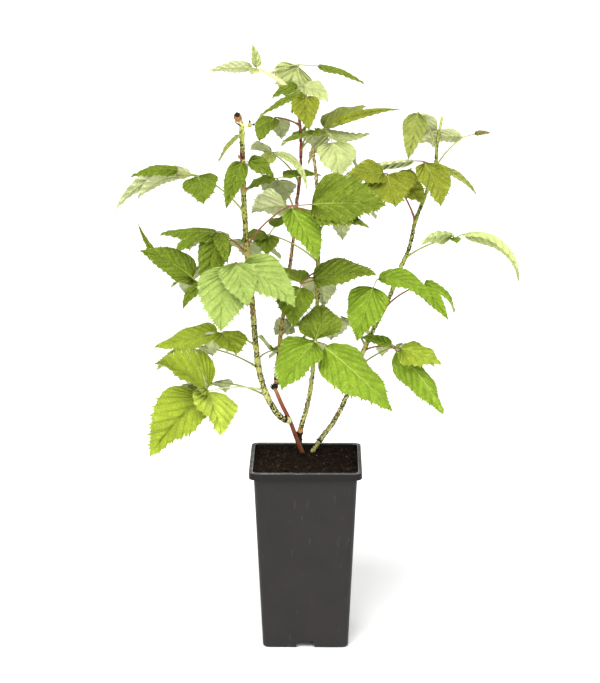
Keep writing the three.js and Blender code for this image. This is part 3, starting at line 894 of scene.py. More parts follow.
def stem_point(path, place):
    """A point on the centripetal curve through a stem's stations, place running from 0 to 1."""
    place = min(max(place, 0.0), 1.0) * (len(path) - 1)
    i = min(int(place), len(path) - 2)
    t = place - i
    p1, p2 = np.array(path[i], float), np.array(path[i + 1], float)
    p0 = np.array(path[i - 1], float) if i else 2 * p1 - p2
    p3 = np.array(path[i + 2], float) if i + 2 < len(path) else 2 * p2 - p1
    d0, d1, d2 = (math.sqrt(np.linalg.norm(b - a)) for a, b in ((p0, p1), (p1, p2), (p2, p3)))
    m1 = ((p1 - p0) / d0 - (p2 - p0) / (d0 + d1) + (p2 - p1) / d1) * d1
    m2 = ((p2 - p1) / d1 - (p3 - p1) / (d1 + d2) + (p3 - p2) / d2) * d1
    return p1 + m1 * t + (3 * (p2 - p1) - 2 * m1 - m2) * t ** 2 + (2 * (p1 - p2) + m1 + m2) * t ** 3


def stem_place(stem, z):
    """Where on a stem its middle is at height z. Its stations rise all the way."""
    low, high = 0.0, 1.0
    for _ in range(30):
        middle = (low + high) / 2
        if stem_point(STEMS[stem]["path"], middle)[2] < z:
            low = middle
        else:
            high = middle
    return low


def stem_radius(stem, place):
    row = STEMS[stem]
    return row["foot"] + (row["tip"] - row["foot"]) * place


def stem_mesh(sheaf, stem, settings):
    """A stem with long ridges, swollen where each leaf leaves it."""
    path = STEMS[stem]["path"]
    coarse = np.array([stem_point(path, place) for place in np.linspace(0, 1, 60)])
    size = np.linalg.norm(np.diff(coarse, axis=0), axis=1).sum()
    places = np.linspace(0, 1, max(int(size * MM / settings.step), 8))
    points = np.array([stem_point(path, place) for place in places])
    turns = ring_angles(settings.sides)
    heights = [leaf.height for leaf in LEAVES.get(stem, [])]
    radii = []
    for place, point in zip(places, points):
        swell = sum(math.exp(-(((point[2] - z) + SWELL_DROP) / SWELL_REACH) ** 2) for z in heights)
        around = 1 + settings.ridges * np.sin(RIDGE_COUNT * turns + RIDGE_TWIST * point[2])
        rough = [noise.noise(Vector((3 * math.cos(a), 3 * math.sin(a), 0.25 * point[2]))) for a in turns]
        body = stem_radius(stem, place) * (1 + settings.swelling * min(swell, 1.0))
        radii.append(body * (around + settings.ridges * np.array(rough)))
    sheaf.add(*tube(points, radii, settings.sides, level_ends=True), "bark_" + stem)


def sleeve(sheaf, stem, low, high, proud, finish, lumps):
    """A skin that stands `proud` of a stem between two heights: a collar, a scar or a dead foot."""
    start, end = stem_place(stem, low), stem_place(stem, high)
    places = np.linspace(start, end, max(int((high - low) / SLEEVE_STEP), 4) + 1)
    points = [stem_point(STEMS[stem]["path"], place) for place in places]
    radii = []
    for i, (place, point) in enumerate(zip(places, points)):
        rounded = math.sin(math.pi * (i + 0.35) / (len(places) - 0.3)) ** 0.35
        spots = [Vector((side * 1.7, point[2] * 0.9, 7)) for side in range(SLEEVE_SIDES)]
        wild = np.array([noise.noise(spot) for spot in spots])
        radii.append((stem_radius(stem, place) + proud * rounded) * (1 + lumps * wild))
    sheaf.add(*tube(points, radii, SLEEVE_SIDES), finish)


def spindle(sheaf, start, size, heading, rise, bend, radius, finish, belly=0.25, sides=6):
    """A slender bud, stipule, thorn or root: thickest at `belly` of its length and pointed."""
    shares = np.linspace(0, 1, SPINDLE_RINGS)
    swell = np.where(shares < belly, 0.55 + 0.45 * shares / belly, ((1 - shares) / (1 - belly)) ** 0.8)
    radii = np.maximum(radius * swell, SPINDLE_POINT)
    sheaf.add(*tube(arc(start, size, heading, rise, bend, shares), radii, sides), finish)


# ---------------------------------------------------------------- leaves

FOOT_POWER = 0.45
TIP_POWER = 1.1
SWAY = 0.13
VEIN_COUNT = (4, 9)
VEIN_LEAN = 1.35
PLEAT_RIPPLE = 0.12
SCALLOP = 0.09
LOPSIDED = 0.16
TWIST = 10
BOW = 1.6
GROOVE = 0.3
# How high a face's two rows of crest must reach, summed, for the face to get the painted highlight.
LIT_RIDGE = 1.5
LONG_TOOTH = 0.6
TOOTH_RISE = 6
WAVE_RISE = 3

# Spans that the dice pick from for each leaflet
PLEAT_DEPTHS = (0.75, 1.25)
TOOTH_SIZES = (0.6, 1.4)
CREASES = (0.5, 1.5)
WAVE_COUNTS = (1.6, 2.6)
STIPULE_SIZES = (0.7, 1.3)

STALK_BEND = 30
STALK_RADII = (1.15, 0.75)
RIB_TIP = 0.16
YOUNG_HEIGHT = 500
MOST_LEAVES = 11

# Shares of the way from the midrib to the edge at which a blade has its columns of points
ACROSS = np.array([0, 0.03, 0.16, 0.32, 0.5, 0.68, 0.85, 1.0])

# A tooth, as rows of (share of its run, share of its height, on a side vein)
SMALL_TOOTH = ((0.4, 0.6, False), (0.8, 1, False), (1, 0, False))
LARGE_TOOTH = ((0.4, 0.6, False), (0.73, 0.95, False), (0.8, 1, True), (0.87, 0.8, False), (1, 0, False))
LARGER = 1.7

# Leaves whose stalks aren't plain green
STALK_TONES = {
    **dict.fromkeys((
        "leaf_left_12", "leaf_right_07", "leaf_right_04", "leaf_left_06", "leaf_right_02", "leaf_right_09",
        "leaf_tall_07", "leaf_left_11", "leaf_tall_06", "leaf_middle_03",
    ), "blush"),
    "leaf_left_02": "young",
}


def half_width(share_along, width):
    """Half width of a leaflet at a share of its length: egg-shaped with a drawn-out tip."""
    widest = FOOT_POWER / (FOOT_POWER + TIP_POWER)
    most = widest ** FOOT_POWER * (1 - widest) ** TIP_POWER
    return width / 2 * share_along ** FOOT_POWER * (1 - share_along) ** TIP_POWER / most


def margin(veins):
    """Stations along a blade's edge, as rows of (share, tooth height, on a vein).

    Every third tooth is a large one, which a side vein runs to.
    """
    teeth = 3 * (veins + 1)
    rows = [(0, 0, False)]
    for k in range(teeth):
        large = k % 3 == 2 and k < teeth - 1
        tip = LARGER if large else 1
        for share_along, height, vein in LARGE_TOOTH if large else SMALL_TOOTH:
            rows.append(((k + share_along) / teeth, height * tip, vein))
    return np.array(rows, float)


def midrib(base, leaflet, seed, shares):
    """Points along a leaflet's midrib, which is a little sickle-shaped."""
    line = arc(base, leaflet.size, leaflet.heading, leaflet.rise, leaflet.bend, shares)
    sway = SWAY * leaflet.size * (dice(seed, 8) - 0.5) * np.sin(math.pi * np.asarray(shares))
    return line + np.outer(sway, direction(leaflet.heading - 90, 0))


def blade(sheaf, base, leaflet, tone, seed, settings):
    """One leaflet: pleated between its side veins, folded along its midrib and toothed all round."""
    size, width = leaflet.size, leaflet.width
    fold = 0 if leaflet.fold is None else math.radians(leaflet.fold) - settings.fold
    veins = int(np.clip(round(size * MM / settings.vein_gap), *VEIN_COUNT))
    edge, tooth, on_vein = margin(veins).T
    stations = np.concatenate([[0], edge[on_vein > 0], [1]])
    k = np.clip(np.searchsorted(stations, edge, side="right") - 1, 0, len(stations) - 2)
    between = np.clip((edge - stations[k]) / (stations[k + 1] - stations[k]), 0, 1)
    crest = np.sin(math.pi * between)
    pleat = 0.5 - 0.5 * np.cos(2 * math.pi * between)
    pleat = pleat + PLEAT_RIPPLE * np.abs(np.sin(3 * math.pi * between))
    half = half_width(edge, width) * (1 - SCALLOP * np.clip(2.5 * edge - 0.5, 0, 1) * crest)
    foot = np.maximum(edge - VEIN_LEAN * half / size, 0)
    deep = settings.pleat * min(settings.vein_gap / MM, size / veins) * thrown(seed, 3, PLEAT_DEPTHS)
    uneven = np.array([thrown(seed, 40 + i // 3, TOOTH_SIZES) for i in range(len(edge))])
    grown = np.clip(0.2 + 1.6 * edge, 0, 1.15) * np.minimum(1, 6 * (1 - edge)) ** 0.5 * uneven
    tooth_size = settings.tooth * width * tooth * grown
    crease = math.tan(settings.fold * thrown(seed, 1, CREASES))
    turn = math.radians(leaflet.roll + TWIST * (dice(seed, 2) - 0.5))
    kinds = face_kinds(on_vein > 0, crest)

    t = ACROSS[None, :]
    for hand in (1, -1):
        lopsided = 1 + LOPSIDED * hand * (dice(seed, 9) - 0.5)
        share_along = foot[:, None] + (edge - foot)[:, None] * t
        share_along = share_along + (LONG_TOOTH * tooth_size / size)[:, None] * t ** TOOTH_RISE
        beside = half[:, None] * t * lopsided + tooth_size[:, None] * t ** TOOTH_RISE
        swell = pleat[:, None] * np.minimum(1, 5 * t) * (1 - 0.5 * t ** 2)
        waves = np.sin(2 * math.pi * thrown(seed, 5, WAVE_COUNTS) * edge + 6 * dice(seed, 6 + hand))
        lift = crease * beside - settings.arch * crease * beside ** 2 / (width / 2) * BOW
        lift = lift + deep * swell + settings.ruffle * width * waves[:, None] * t ** WAVE_RISE
        lift = lift - GROOVE * (1 - np.minimum(1, t / ACROSS[1])) * np.minimum(1, 8 * share_along)
        beside, lift = (beside * math.cos(fold) - lift * math.sin(fold),
                        beside * math.sin(fold) + lift * math.cos(fold))
        rib = midrib(base, leaflet, seed, share_along.ravel())
        half_blade(sheaf, rib, leaflet, turn, hand, (share_along, beside, lift), kinds, tone, settings)


def face_kinds(on_vein, crest):
    """For each face of half a blade, its kind on top, and whether the underside has a rib there."""
    near = np.arange(len(ACROSS) - 1)[None, :]
    inner = near < len(ACROSS) - 2
    # Faces by the side veins get painted shade.
    furrow = (on_vein[:-1] | on_vein[1:])[:, None] & inner
    # Faces on the crests between the veins get a painted highlight.
    ridge = (crest[:-1] + crest[1:] > LIT_RIDGE)[:, None] & (near > 0) & inner
    spine = np.broadcast_to(near == 0, ridge.shape)
    kinds = np.select([spine, furrow, ridge], ["vein", "furrow", "ridge"], "blade")
    return kinds.ravel(), (spine | furrow).ravel()


def half_blade(sheaf, rib, leaflet, turn, hand, grid, kinds, tone, settings):
    """Adds one half of a blade, both its faces, meeting in a sharp edge."""
    share_along, beside, lift = grid
    rows, columns = share_along.shape
    slope = math.radians(leaflet.rise) + math.radians(leaflet.bend) * (0.5 - share_along.ravel())
    along = np.outer(np.cos(slope), direction(leaflet.heading, 0)) + np.outer(np.sin(slope), (0, 0, 1))
    side = np.broadcast_to(direction(leaflet.heading - 90, 0), along.shape)
    face = np.cross(side, along)
    turned = side * np.cos(turn) + face * np.sin(turn)
    upward = face * np.cos(turn) - side * np.sin(turn)
    top = rib + turned * (hand * beside.ravel())[:, None] + upward * lift.ravel()[:, None]
    across = np.broadcast_to(ACROSS, share_along.shape)
    thin = settings.thickness / MM * (1 - across ** 5) * np.clip(share_along * 25, 0, 1)
    thin = thin * np.clip((1 - share_along) * 12, 0, 1)
    under = top - upward * thin.ravel()[:, None]
    i, j = np.meshgrid(np.arange(rows - 1), np.arange(columns - 1), indexing="ij")
    a = (i * columns + j).ravel()
    quads = np.stack([a, a + 1, a + columns + 1, a + columns], 1)
    upper = quads if hand > 0 else quads[:, ::-1]
    lower = (quads[:, ::-1] if hand > 0 else quads) + rows * columns
    names = [f"{kind}_{tone}" for kind in kinds[0]]
    names += [("rib_" if ribbed else "felt_") + tone for ribbed in kinds[1]]
    sheaf.add(np.concatenate([top, under]), np.concatenate([upper, lower]), names)


def stalk_line(leaf):
    """Points along a leaf's stalk, from its foot in the cane to its hub."""
    size, heading, rise = leaf.stalk
    foot = stem_point(STEMS[leaf.stem]["path"], stem_place(leaf.stem, leaf.height))
    return arc(foot, size, heading, rise, STALK_BEND, np.linspace(0, 1, 15))


def leaflet_base(hub, leaflet):
    """Where a leaflet's blade begins, and the way that it sets out."""
    onward = direction(leaflet.heading, leaflet.rise + leaflet.bend / 2)
    return hub + onward * leaflet.stalk, onward


def stalks(sheaf, leaf, seed):
    """A leaf's stalk, its leaflets' stalks and midribs, and the two stipules at its foot."""
    stalk = stalk_line(leaf)
    thick, slim = STALK_RADII
    finish = "stalk_" + STALK_TONES.get(leaf.name, "stalk")
    shares = np.linspace(0, 1, len(stalk))
    sheaf.add(*tube(stalk, thick + (slim - thick) * shares + 0.9 * np.exp(-shares * 16), 8), finish)
    for i, leaflet in enumerate(leaf.leaflets):
        base, onward = leaflet_base(stalk[-1], leaflet)
        joint = stalk[-1] + (base + onward * 0.5 - stalk[-1]) * np.linspace(0, 1, 4)[:, None]
        sheaf.add(*tube(joint, slim * np.array([1.0, 0.92, 0.88, 0.85]), 8), finish)
        rib = midrib(base, leaflet, leaf.height + 17 * i, np.linspace(0, 0.86, 12))
        radii = np.linspace(slim * 0.85, RIB_TIP, 12)
        side = direction(leaflet.heading - 90, 0)
        face = np.cross(side, direction(leaflet.heading, leaflet.rise))
        twist = math.radians(leaflet.roll)
        upward = face * math.cos(twist) - side * math.sin(twist)
        sheaf.add(*tube(rib - upward * (radii[:, None] + 0.3), radii, 6), "stalk_stalk")
    for hand in (-1, 1):
        size = (7 if leaf.height > YOUNG_HEIGHT else 5) * thrown(seed, 20 + hand, STIPULE_SIZES)
        spindle(sheaf, stalk[1], size, leaf.stalk[1] + hand * 35, 50, 40, 0.28, finish, sides=5)


# ---------------------------------------------------------------- compost

# Lumps of the compost: size in mm, roughness, spread, octaves and weight
LUMPS = ((13, 0.9, 2.1, 4, 0.5), (3.4, 0.8, 2.2, 3, 0.35))
LIP = 0.5 * MM
SKIRT = 12 * MM
SKIRT_TAPER = 0.9
CRUMB_SPREAD = 0.42
GRIT_SIZE = 0.6
RIM_CRUMBS = 7
CRUMB_KINDS = {"peat_crumb": 0.865, "bark_crumb": 0.131, "grit": 0.004}

# A fibre's length, heading, rise, bend and radius, each from a span
FIBRE = ((3, 9), (0, 360), (-5, 22), (10, 60), (0.12, 0.4))


def heap_height(x, y, settings):
    """Height of the compost in metres: level at the crown, and down to the edge on every side."""
    half = SOIL_HIGH.x
    crown_x, crown_y = settings.crown_x, settings.crown_y
    run_x = (x - crown_x) / (half - crown_x if x > crown_x else -half - crown_x)
    run_y = (y - crown_y) / (half - crown_y if y > crown_y else -half - crown_y)
    out = min(max(run_x, run_y, settings.crown_flat), 1)
    climb = (1 - out) / (1 - settings.crown_flat)
    level = settings.edge_level + climb * (SOIL_HIGH.z - settings.edge_level)
    spot = Vector((x, y, 0)) / MM
    lumps = sum(noise.fractal(spot / size, *rule) * weight for size, *rule, weight in LUMPS)
    return level + settings.lump * lumps


# ---------------------------------------------------------------- operators

CHANNEL_TAPER = 0.85
CHANNEL_WALL = 2 * MM
FLOOR = 2.5 * MM
FOOT_BEVEL = 2 * MM
CORNER_STEPS = 8
EDGE_STEPS = 3

# Degrees between two faces over which the pot's edges are rounded, and over which shading breaks
ROUNDED = 40
CREASED = 35


def start_block(name, low, high, half):
    """A cube primitive between two heights, as wide as twice `half`, in edit mode."""
    box = {"location": (0, 0, (low + high) / 2), "scale": (2 * half, 2 * half, high - low)}
    piece = added(bpy.ops.mesh.primitive_cube_add, name, size=1, **box)
    bpy.ops.object.transform_apply(location=True, rotation=True, scale=True)
    bpy.ops.object.mode_set(mode="EDIT")
    return piece


def pick(piece, kind, test):
    """Selects, in edit mode, the faces or edges that pass a test."""
    bpy.ops.mesh.select_mode(type=kind)
    bpy.ops.mesh.select_all(action="DESELECT")
    shape = bmesh.from_edit_mesh(piece.data)
    for item in shape.faces if kind == "FACE" else shape.edges:
        item.select_set(test(item))
    bmesh.update_edit_mesh(piece.data)


def faces_up(face, level=None):
    """Whether a face looks up, and lies at a level where one is given."""
    return face.normal.z > 0.9 and (level is None or abs(face.calc_center_median().z - level) < MM / 10)


def upright(edge):
    run = edge.verts[0].co - edge.verts[1].co
    return abs(run.z) > 0.3 * run.length


def tapered(name, levels, radius):
    """A square block with round corners through levels of (height, half width)."""
    (low, half), (high, wide) = levels[:2]
    piece = start_block(name, low, high, half)
    pick(piece, "FACE", faces_up)
    bpy.ops.transform.resize(value=(wide / half, wide / half, 1), center_override=(0, 0, 0))
    pick(piece, "EDGE", upright)
    bpy.ops.mesh.bevel(offset=radius, segments=CORNER_STEPS, affect="EDGES")
    for (below, narrow), (above, broad) in zip(levels[1:], levels[2:]):
        pick(piece, "FACE", lambda face: faces_up(face, below))
        bpy.ops.mesh.extrude_region_move(TRANSFORM_OT_translate={"value": (0, 0, above - below)})
        bpy.ops.transform.resize(value=(broad / narrow, broad / narrow, 1), center_override=(0, 0, 0))
    bpy.ops.object.mode_set(mode="OBJECT")
    return piece


def channels(settings, spare):
    """Four wedge-shaped blocks where the channels run, `spare` bigger all round."""
    half = settings.notch_width / 2 + spare
    top = settings.notch_height + spare
    piece = start_block("channels", -MM, top, half)
    pick(piece, "FACE", faces_up)
    bpy.ops.transform.resize(value=(CHANNEL_TAPER, 1, 1), center_override=(0, 0, 0))
    bpy.ops.object.mode_set(mode="OBJECT")
    outer = POT_HIGH.x
    inner = settings.foot_half - settings.notch_depth - spare
    for vertex in piece.data.vertices:
        vertex.co.y = -outer if vertex.co.y < 0 else -inner
    sides = [piece]
    for quarter in (1, 2, 3):
        copy = piece.copy()
        copy.data = piece.data.copy()
        copy.data.transform(Matrix.Rotation(quarter * math.pi / 2, 4, "Z"))
        bpy.context.scene.collection.objects.link(copy)
        sides.append(copy)
    bpy.ops.object.select_all(action="DESELECT")
    for side in sides:
        side.select_set(True)
    bpy.context.view_layer.objects.active = piece
    bpy.ops.object.join()
    return piece


def carve(piece, cutter):
    cut = piece.modifiers.new("Carve", "BOOLEAN")
    cut.operation = "DIFFERENCE"
    cut.object = cutter
    cut.solver = "EXACT"
    select_only(piece)
    bpy.ops.object.modifier_apply(modifier=cut.name)
    bpy.data.objects.remove(cutter)


class RASPBERRY_OT_pot(bpy.types.Operator):
    """Mould the square pot with its rim and drainage channels"""

    bl_idname = "raspberry.pot"
    bl_label = "Pot"

    def execute(self, context):
        size = context.scene.raspberry_pot
        rim = POT_HIGH.x
        top = POT_HIGH.z
        shoulder = top - size.rim_height
        wide = rim - size.overhang
        foot = size.foot_half
        radius = size.corner * foot / rim
        outside = [
            (0, foot - FOOT_BEVEL), (FOOT_BEVEL, foot), (shoulder, wide), (shoulder, rim), (top, rim),
        ]
        pot = tapered("pot_shell", outside, radius)
        inner = [
            (FLOOR, foot - size.wall), (shoulder, wide - size.wall),
            (shoulder + FLOOR, rim - size.rim_face), (top + MM, rim - size.rim_face),
        ]
        hollow = tapered("hollow", inner, radius)
        carve(hollow, channels(size, CHANNEL_WALL))
        carve(pot, hollow)
        carve(pot, channels(size, 0))
        soft = pot.modifiers.new("Soft edges", "BEVEL")
        soft.width = size.softness
        soft.segments = EDGE_STEPS
        soft.limit_method = "ANGLE"
        soft.angle_limit = math.radians(ROUNDED)
        select_only(pot)
        bpy.ops.object.modifier_apply(modifier=soft.name)
        coat(pot, pot_plastic(size), CREASED)
        settle(pot, "pot", "pot")
        return {"FINISHED"}


class RASPBERRY_OT_compost(bpy.types.Operator):
    """Fill the pot with lumpy compost"""

    bl_idname = "raspberry.compost"
    bl_label = "Compost"

    def execute(self, context):
        size = context.scene.raspberry_compost
        half = SOIL_HIGH.x
        grid = {"x_subdivisions": size.cells, "y_subdivisions": size.cells, "size": 2 * half}
        heap = added(bpy.ops.mesh.primitive_grid_add, "compost_heap", location=(0, 0, 0), **grid)
        for vertex in heap.data.vertices:
            vertex.co.z = heap_height(vertex.co.x, vertex.co.y, size)
        bpy.ops.object.mode_set(mode="EDIT")
        pick(heap, "EDGE", lambda edge: edge.is_boundary)
        bpy.ops.mesh.extrude_region_move(TRANSFORM_OT_translate={"value": (0, 0, -LIP)})
        bpy.ops.mesh.extrude_region_move(TRANSFORM_OT_translate={"value": (0, 0, -SKIRT)})
        bpy.ops.transform.resize(value=(SKIRT_TAPER, SKIRT_TAPER, 1), center_override=(0, 0, 0))
        bpy.ops.mesh.edge_face_add()
        turn_outward()
        coat(heap, crumbly("peat", tuple(size.peat), tuple(size.bark)), 60)
        settle(heap, "compost", "soil")
        return {"FINISHED"}


class RASPBERRY_OT_crumbs(bpy.types.Operator):
    """Strew crumbs, grit and fibres over the compost, and a few on the rim"""

    bl_idname = "raspberry.crumbs"
    bl_label = "Crumbs and fibres"

    def execute(self, context):
        size = context.scene.raspberry_compost
        pattern = added(bpy.ops.mesh.primitive_ico_sphere_add, "pattern", subdivisions=1, radius=1)
        corners = np.array([vertex.co[:] for vertex in pattern.data.vertices])
        faces = [tuple(face.vertices) for face in pattern.data.polygons]
        bpy.data.objects.remove(pattern)
        finishes = {
            "peat_crumb": crumbly("peat_crumb", tuple(size.peat), shade(tuple(size.peat), 1.8)),
            "bark_crumb": crumbly("bark_crumb", tuple(size.bark), tuple(size.peat)),
            "grit": crumbly("grit", tuple(size.grit), tuple(size.bark)),
        }
        sheaf = Sheaf("compost_crumbs", finishes.get)
        rng = np.random.default_rng(11)
        reach = SOIL_HIGH.x - 1.5 * MM
        for crumb in range(size.crumbs):
            x, y = rng.uniform(-reach, reach, 2)
            lift = heap_height(x, y, size) / MM
            radius = size.crumb / MM * rng.lognormal(0, CRUMB_SPREAD)
            if crumb < RIM_CRUMBS:
                x = -5 * MM + rng.uniform(-4, 12) * MM
                y = -POT_HIGH.x + 2.5 * MM + rng.uniform(-1, 1) * MM
                lift = POT_HIGH.z / MM + 0.2
                radius = rng.uniform(0.4, 0.8)
            shape = corners * rng.uniform(0.7, 1.15, (len(corners), 1)) * rng.uniform(0.6, 1.25, 3)
            turn = Matrix.Rotation(rng.uniform(0, 6.28), 3, Vector(rng.normal(size=3)).normalized())
            shape = shape @ np.array(turn) * radius
            kind = str(rng.choice(list(CRUMB_KINDS), p=list(CRUMB_KINDS.values())))
            if kind == "grit":
                shape *= GRIT_SIZE
            sheaf.add(shape + (x / MM, y / MM, lift + 0.25 * radius), faces, kind)
        for _ in range(size.fibres):
            x, y = rng.uniform(-reach * 0.95, reach * 0.95, 2)
            start = (x / MM, y / MM, heap_height(x, y, size) / MM + 0.2)
            limb = [rng.uniform(*span) for span in FIBRE]
            kind = str(rng.choice(["bark_crumb", "peat_crumb"]))
            spindle(sheaf, start, *limb, kind, sides=5)
        settle(sheaf.make(smooth=30), "compost")
        return {"FINISHED"}


class RASPBERRY_OT_stems(bpy.types.Operator):
    """Grow last year's stem and the four shoots, swollen at their leaves"""

    bl_idname = "raspberry.stems"
    bl_label = "Stems"

    def execute(self, context):
        palette = Palette(context.scene)
        for stem in STEMS:
            sheaf = Sheaf(stem + "_bark", palette)
            stem_mesh(sheaf, stem, context.scene.raspberry_bark)
            settle(sheaf.make(smooth=60), "old_wood" if stem == "old_stem" else "cane_bark", stem)
        return {"FINISHED"}


# How thickly each shoot is studded, as a share of the thickest
PRICKLY = {"cane_left": 1, "cane_tall": 0.5, "cane_middle": 0.7, "cane_right": 0.85}
PRICKLE_REACH = (0.01, 0.97)
PRICKLE_LENGTHS = (0.6, 1.4)
PRICKLE_GIRTHS = (0.4, 0.8)
PRICKLE_CORNERS = (0.3, 1.87, 3.44, 5.01)
PRICKLE_DROOP = 0.2
BARE_SHARE = 0.7


class RASPBERRY_OT_prickles(bpy.types.Operator):
    """Stud the shoots with fine dark prickles"""

    bl_idname = "raspberry.prickles"
    bl_label = "Prickles"

    def execute(self, context):
        size = context.scene.raspberry_bark
        sheaf = Sheaf("prickles", Palette(context.scene))
        rng = np.random.default_rng(5)
        for stem, amount in PRICKLY.items():
            path = STEMS[stem]["path"]
            places = np.linspace(*PRICKLE_REACH, 80)
            marks = np.array([stem_point(path, place) for place in places])
            reached = np.concatenate([[0], np.linalg.norm(np.diff(marks, axis=0), axis=1).cumsum()])
            area = 2 * math.pi * stem_radius(stem, 0.4) * reached[-1]
            for reach in np.sort(rng.uniform(0, reached[-1], int(amount * area / size.prickle_area))):
                place = float(np.interp(reach, reached, places))
                if rng.uniform() < BARE_SHARE * place ** 1.5:
                    continue
                middle = stem_point(path, place)
                ahead = unit(stem_point(path, min(place + 0.01, 1)) - stem_point(path, place - 0.01))
                across = unit(np.cross(ahead, (0, 1, 0)))
                turn = rng.uniform(0, 2 * math.pi)
                out = across * math.cos(turn) + np.cross(ahead, across) * math.sin(turn)
                beside = np.cross(ahead, out)
                girth = rng.uniform(*PRICKLE_GIRTHS)
                root = middle + out * stem_radius(stem, place)
                tip = root + out * size.prickle / MM * rng.uniform(*PRICKLE_LENGTHS)
                tip = tip - ahead * PRICKLE_DROOP
                ring = [root + (beside * math.cos(a) + ahead * 1.5 * math.sin(a)) * girth
                        for a in PRICKLE_CORNERS]
                faces = [(0, 1, 4), (1, 2, 4), (2, 3, 4), (3, 0, 4), (3, 2, 1, 0)]
                sheaf.add([*ring, tip], faces, "speck")
        piece = sheaf.make(smooth=20)
        select_only(piece)
        bpy.ops.object.mode_set(mode="EDIT")
        turn_outward()
        settle(piece, "cane_bark")
        return {"FINISHED"}


# Collars and dead feet: stem, from and to these heights, how far they stand proud, finish and lumpiness
SLEEVES = (
    ("cane_left", 238.2, 240.2, 1.0, "shoot", 0.12),
    ("cane_left", 240.4, 241.2, 0.9, "dead", 0.2),
    ("cane_left", 243.5, 244.3, 0.5, "dead", 0.2),
    ("cane_tall", 275.8, 281, 0.9, "dead", 0.3),
    ("cane_tall", 285, 287, 0.5, "dead", 0.3),
    ("cane_middle", STEM_FOOT, 221, 0.9, "dead", 0.1),
    ("cane_middle", 223.5, 227, 0.8, "ring", 0.1),
    ("cane_middle", 220.5, 223, 1.3, "dead", 0.35),
    ("cane_middle", 231, 232, 0.5, "dead", 0.3),
    ("cane_middle", 530, 534.6, 0.5, "scar", 0.3),
    ("cane_right", 214, 215.2, 0.6, "dead", 0.3),
    ("cane_right", 244, 245.4, 0.4, "scar", 0.3),
)

# Dead stubs: stem, height on it, heading, rise, length and radius
STUBS = (
    ("old_stem", 274, 160, 40, 7, 1.5), ("cane_tall", 277, 190, 50, 6, 1.2),
    ("cane_tall", 281, 0, 30, 4, 1.0), ("cane_middle", 205, 180, 20, 5, 1.0),
    ("cane_middle", 212, 10, 40, 4, 0.9), ("cane_middle", 217, 170, 30, 4, 0.8),
    ("cane_right", 214, 190, 30, 4, 1.0), ("cane_right", 280, 100, 60, 4, 0.9),
    ("cane_left", 241, 250, 10, 3.5, 0.9),
)

# The cluster on the cut top of the left cane: place from there, length, heading, rise, bend, radius, finish
CLUSTER = (
    ((0, 0, -4), 9, 60, 80, 0, 3.0, "shoot"), ((-1, 0, 1), 7, 180, 70, 0, 2.2, "shoot"),
    ((-4, -1, 4), 10, 100, 82, 0, 4.4, "husk"), ((-4.5, -2, 9), 6, 200, 86, 0, 3.4, "dead"),
    ((3, 0, -1), 6, 0, 25, 0, 1.3, "shoot"), ((7, 0, -1), 6, 340, 60, 0, 2.6, "stalk_stalk"),
    ((8, -1, 3.5), 3, 30, 80, 0, 1.2, "dead"), ((11, -1, 1), 3, 10, 30, 0, 1.2, "dead"),
    ((1, -2, -1), 11, 180, 34, -10, 0.8, "dead"), ((2, -1, -1), 17, 350, 84, 10, 0.5, "shoot"),
    ((1.5, -1, 0), 12, 200, 80, -20, 0.5, "scar"), ((4, -1, -3), 13, 0, 26, -20, 0.5, "shoot"),
)
HAIRS = 60
HAIR_CENTRE = (-4, -1, 9)
HAIR_REACH = 3.4
HAIR_LENGTHS = (2.2, 3.2)
GOLDEN_ANGLE = 137.5


class RASPBERRY_OT_scars(bpy.types.Operator):
    """Add collars, scars, buds and dead ends along the stems"""

    bl_idname = "raspberry.scars"
    bl_label = "Collars and buds"

    def execute(self, context):
        sheaf = Sheaf("collars_and_buds", Palette(context.scene))
        for row in SLEEVES:
            sleeve(sheaf, *row)
        for stem, z, heading, rise, size, radius in STUBS:
            start = stem_point(STEMS[stem]["path"], stem_place(stem, z)) + direction(heading, 0) * 1.4
            spindle(sheaf, start, size, heading, rise, -30, radius, "dead")
        path = STEMS["cane_left"]["path"]
        top = np.array(path[-1])
        for spot, *rule in CLUSTER:
            spindle(sheaf, top + spot, *rule, belly=0.5, sides=10)
        for i in range(HAIRS):
            heading = GOLDEN_ANGLE * i
            root = top + HAIR_CENTRE + direction(heading, 130 * dice(i, 1) - 50) * HAIR_REACH
            hair = ("husk", "scar", "dead")[i % 3]
            spindle(sheaf, root, thrown(i, 2, HAIR_LENGTHS), heading, 100 * dice(i, 3), 0, 0.3, hair)
        bud = stem_point(path, stem_place("cane_left", 528))
        spindle(sheaf, bud + (-2, -1, 0), 5.5, 190, 55, -20, 1.7, "husk", belly=0.4)
        spindle(sheaf, np.array(path[0]) + (1, -3, -2), 11, 20, -84, 10, 0.22, "dead", sides=5)
        settle(sheaf.make(smooth=40), "cane_bark")
        return {"FINISHED"}


TIP_HEIGHT = 584
TIP_RINGS = 24
TIP_FOOT = 2.5
TIP_TAPER = 0.9
TIP_WAVE = 0.25
TIP_END = 0.8
SHEATH_LENGTHS = (9, 13)


class RASPBERRY_OT_shoot_tip(bpy.types.Operator):
    """Add the soft pale tip of the tallest shoot, sheathed in stipules"""

    bl_idname = "raspberry.shoot_tip"
    bl_label = "Shoot tip"

    def execute(self, context):
        sheaf = Sheaf("shoot_tip", Palette(context.scene))
        path = STEMS["cane_tall"]["path"]
        places = np.linspace(stem_place("cane_tall", TIP_HEIGHT), 1, TIP_RINGS)
        points = [stem_point(path, place) for place in places]
        radii = [
            TIP_FOOT - TIP_TAPER * i / (TIP_RINGS - 1) + TIP_WAVE * math.sin(0.9 * i)
            for i in range(TIP_RINGS)
        ]
        radii[-1] = TIP_END
        sheaf.add(*tube(points, radii, 12), "shoot")
        for i, point in enumerate(points[::2]):
            size = thrown(i, 2, SHEATH_LENGTHS)
            spindle(sheaf, point, size, GOLDEN_ANGLE * i, 48, 50, 0.5, "shoot", sides=5)
        settle(sheaf.make(smooth=50), "cane_bark")
        return {"FINISHED"}


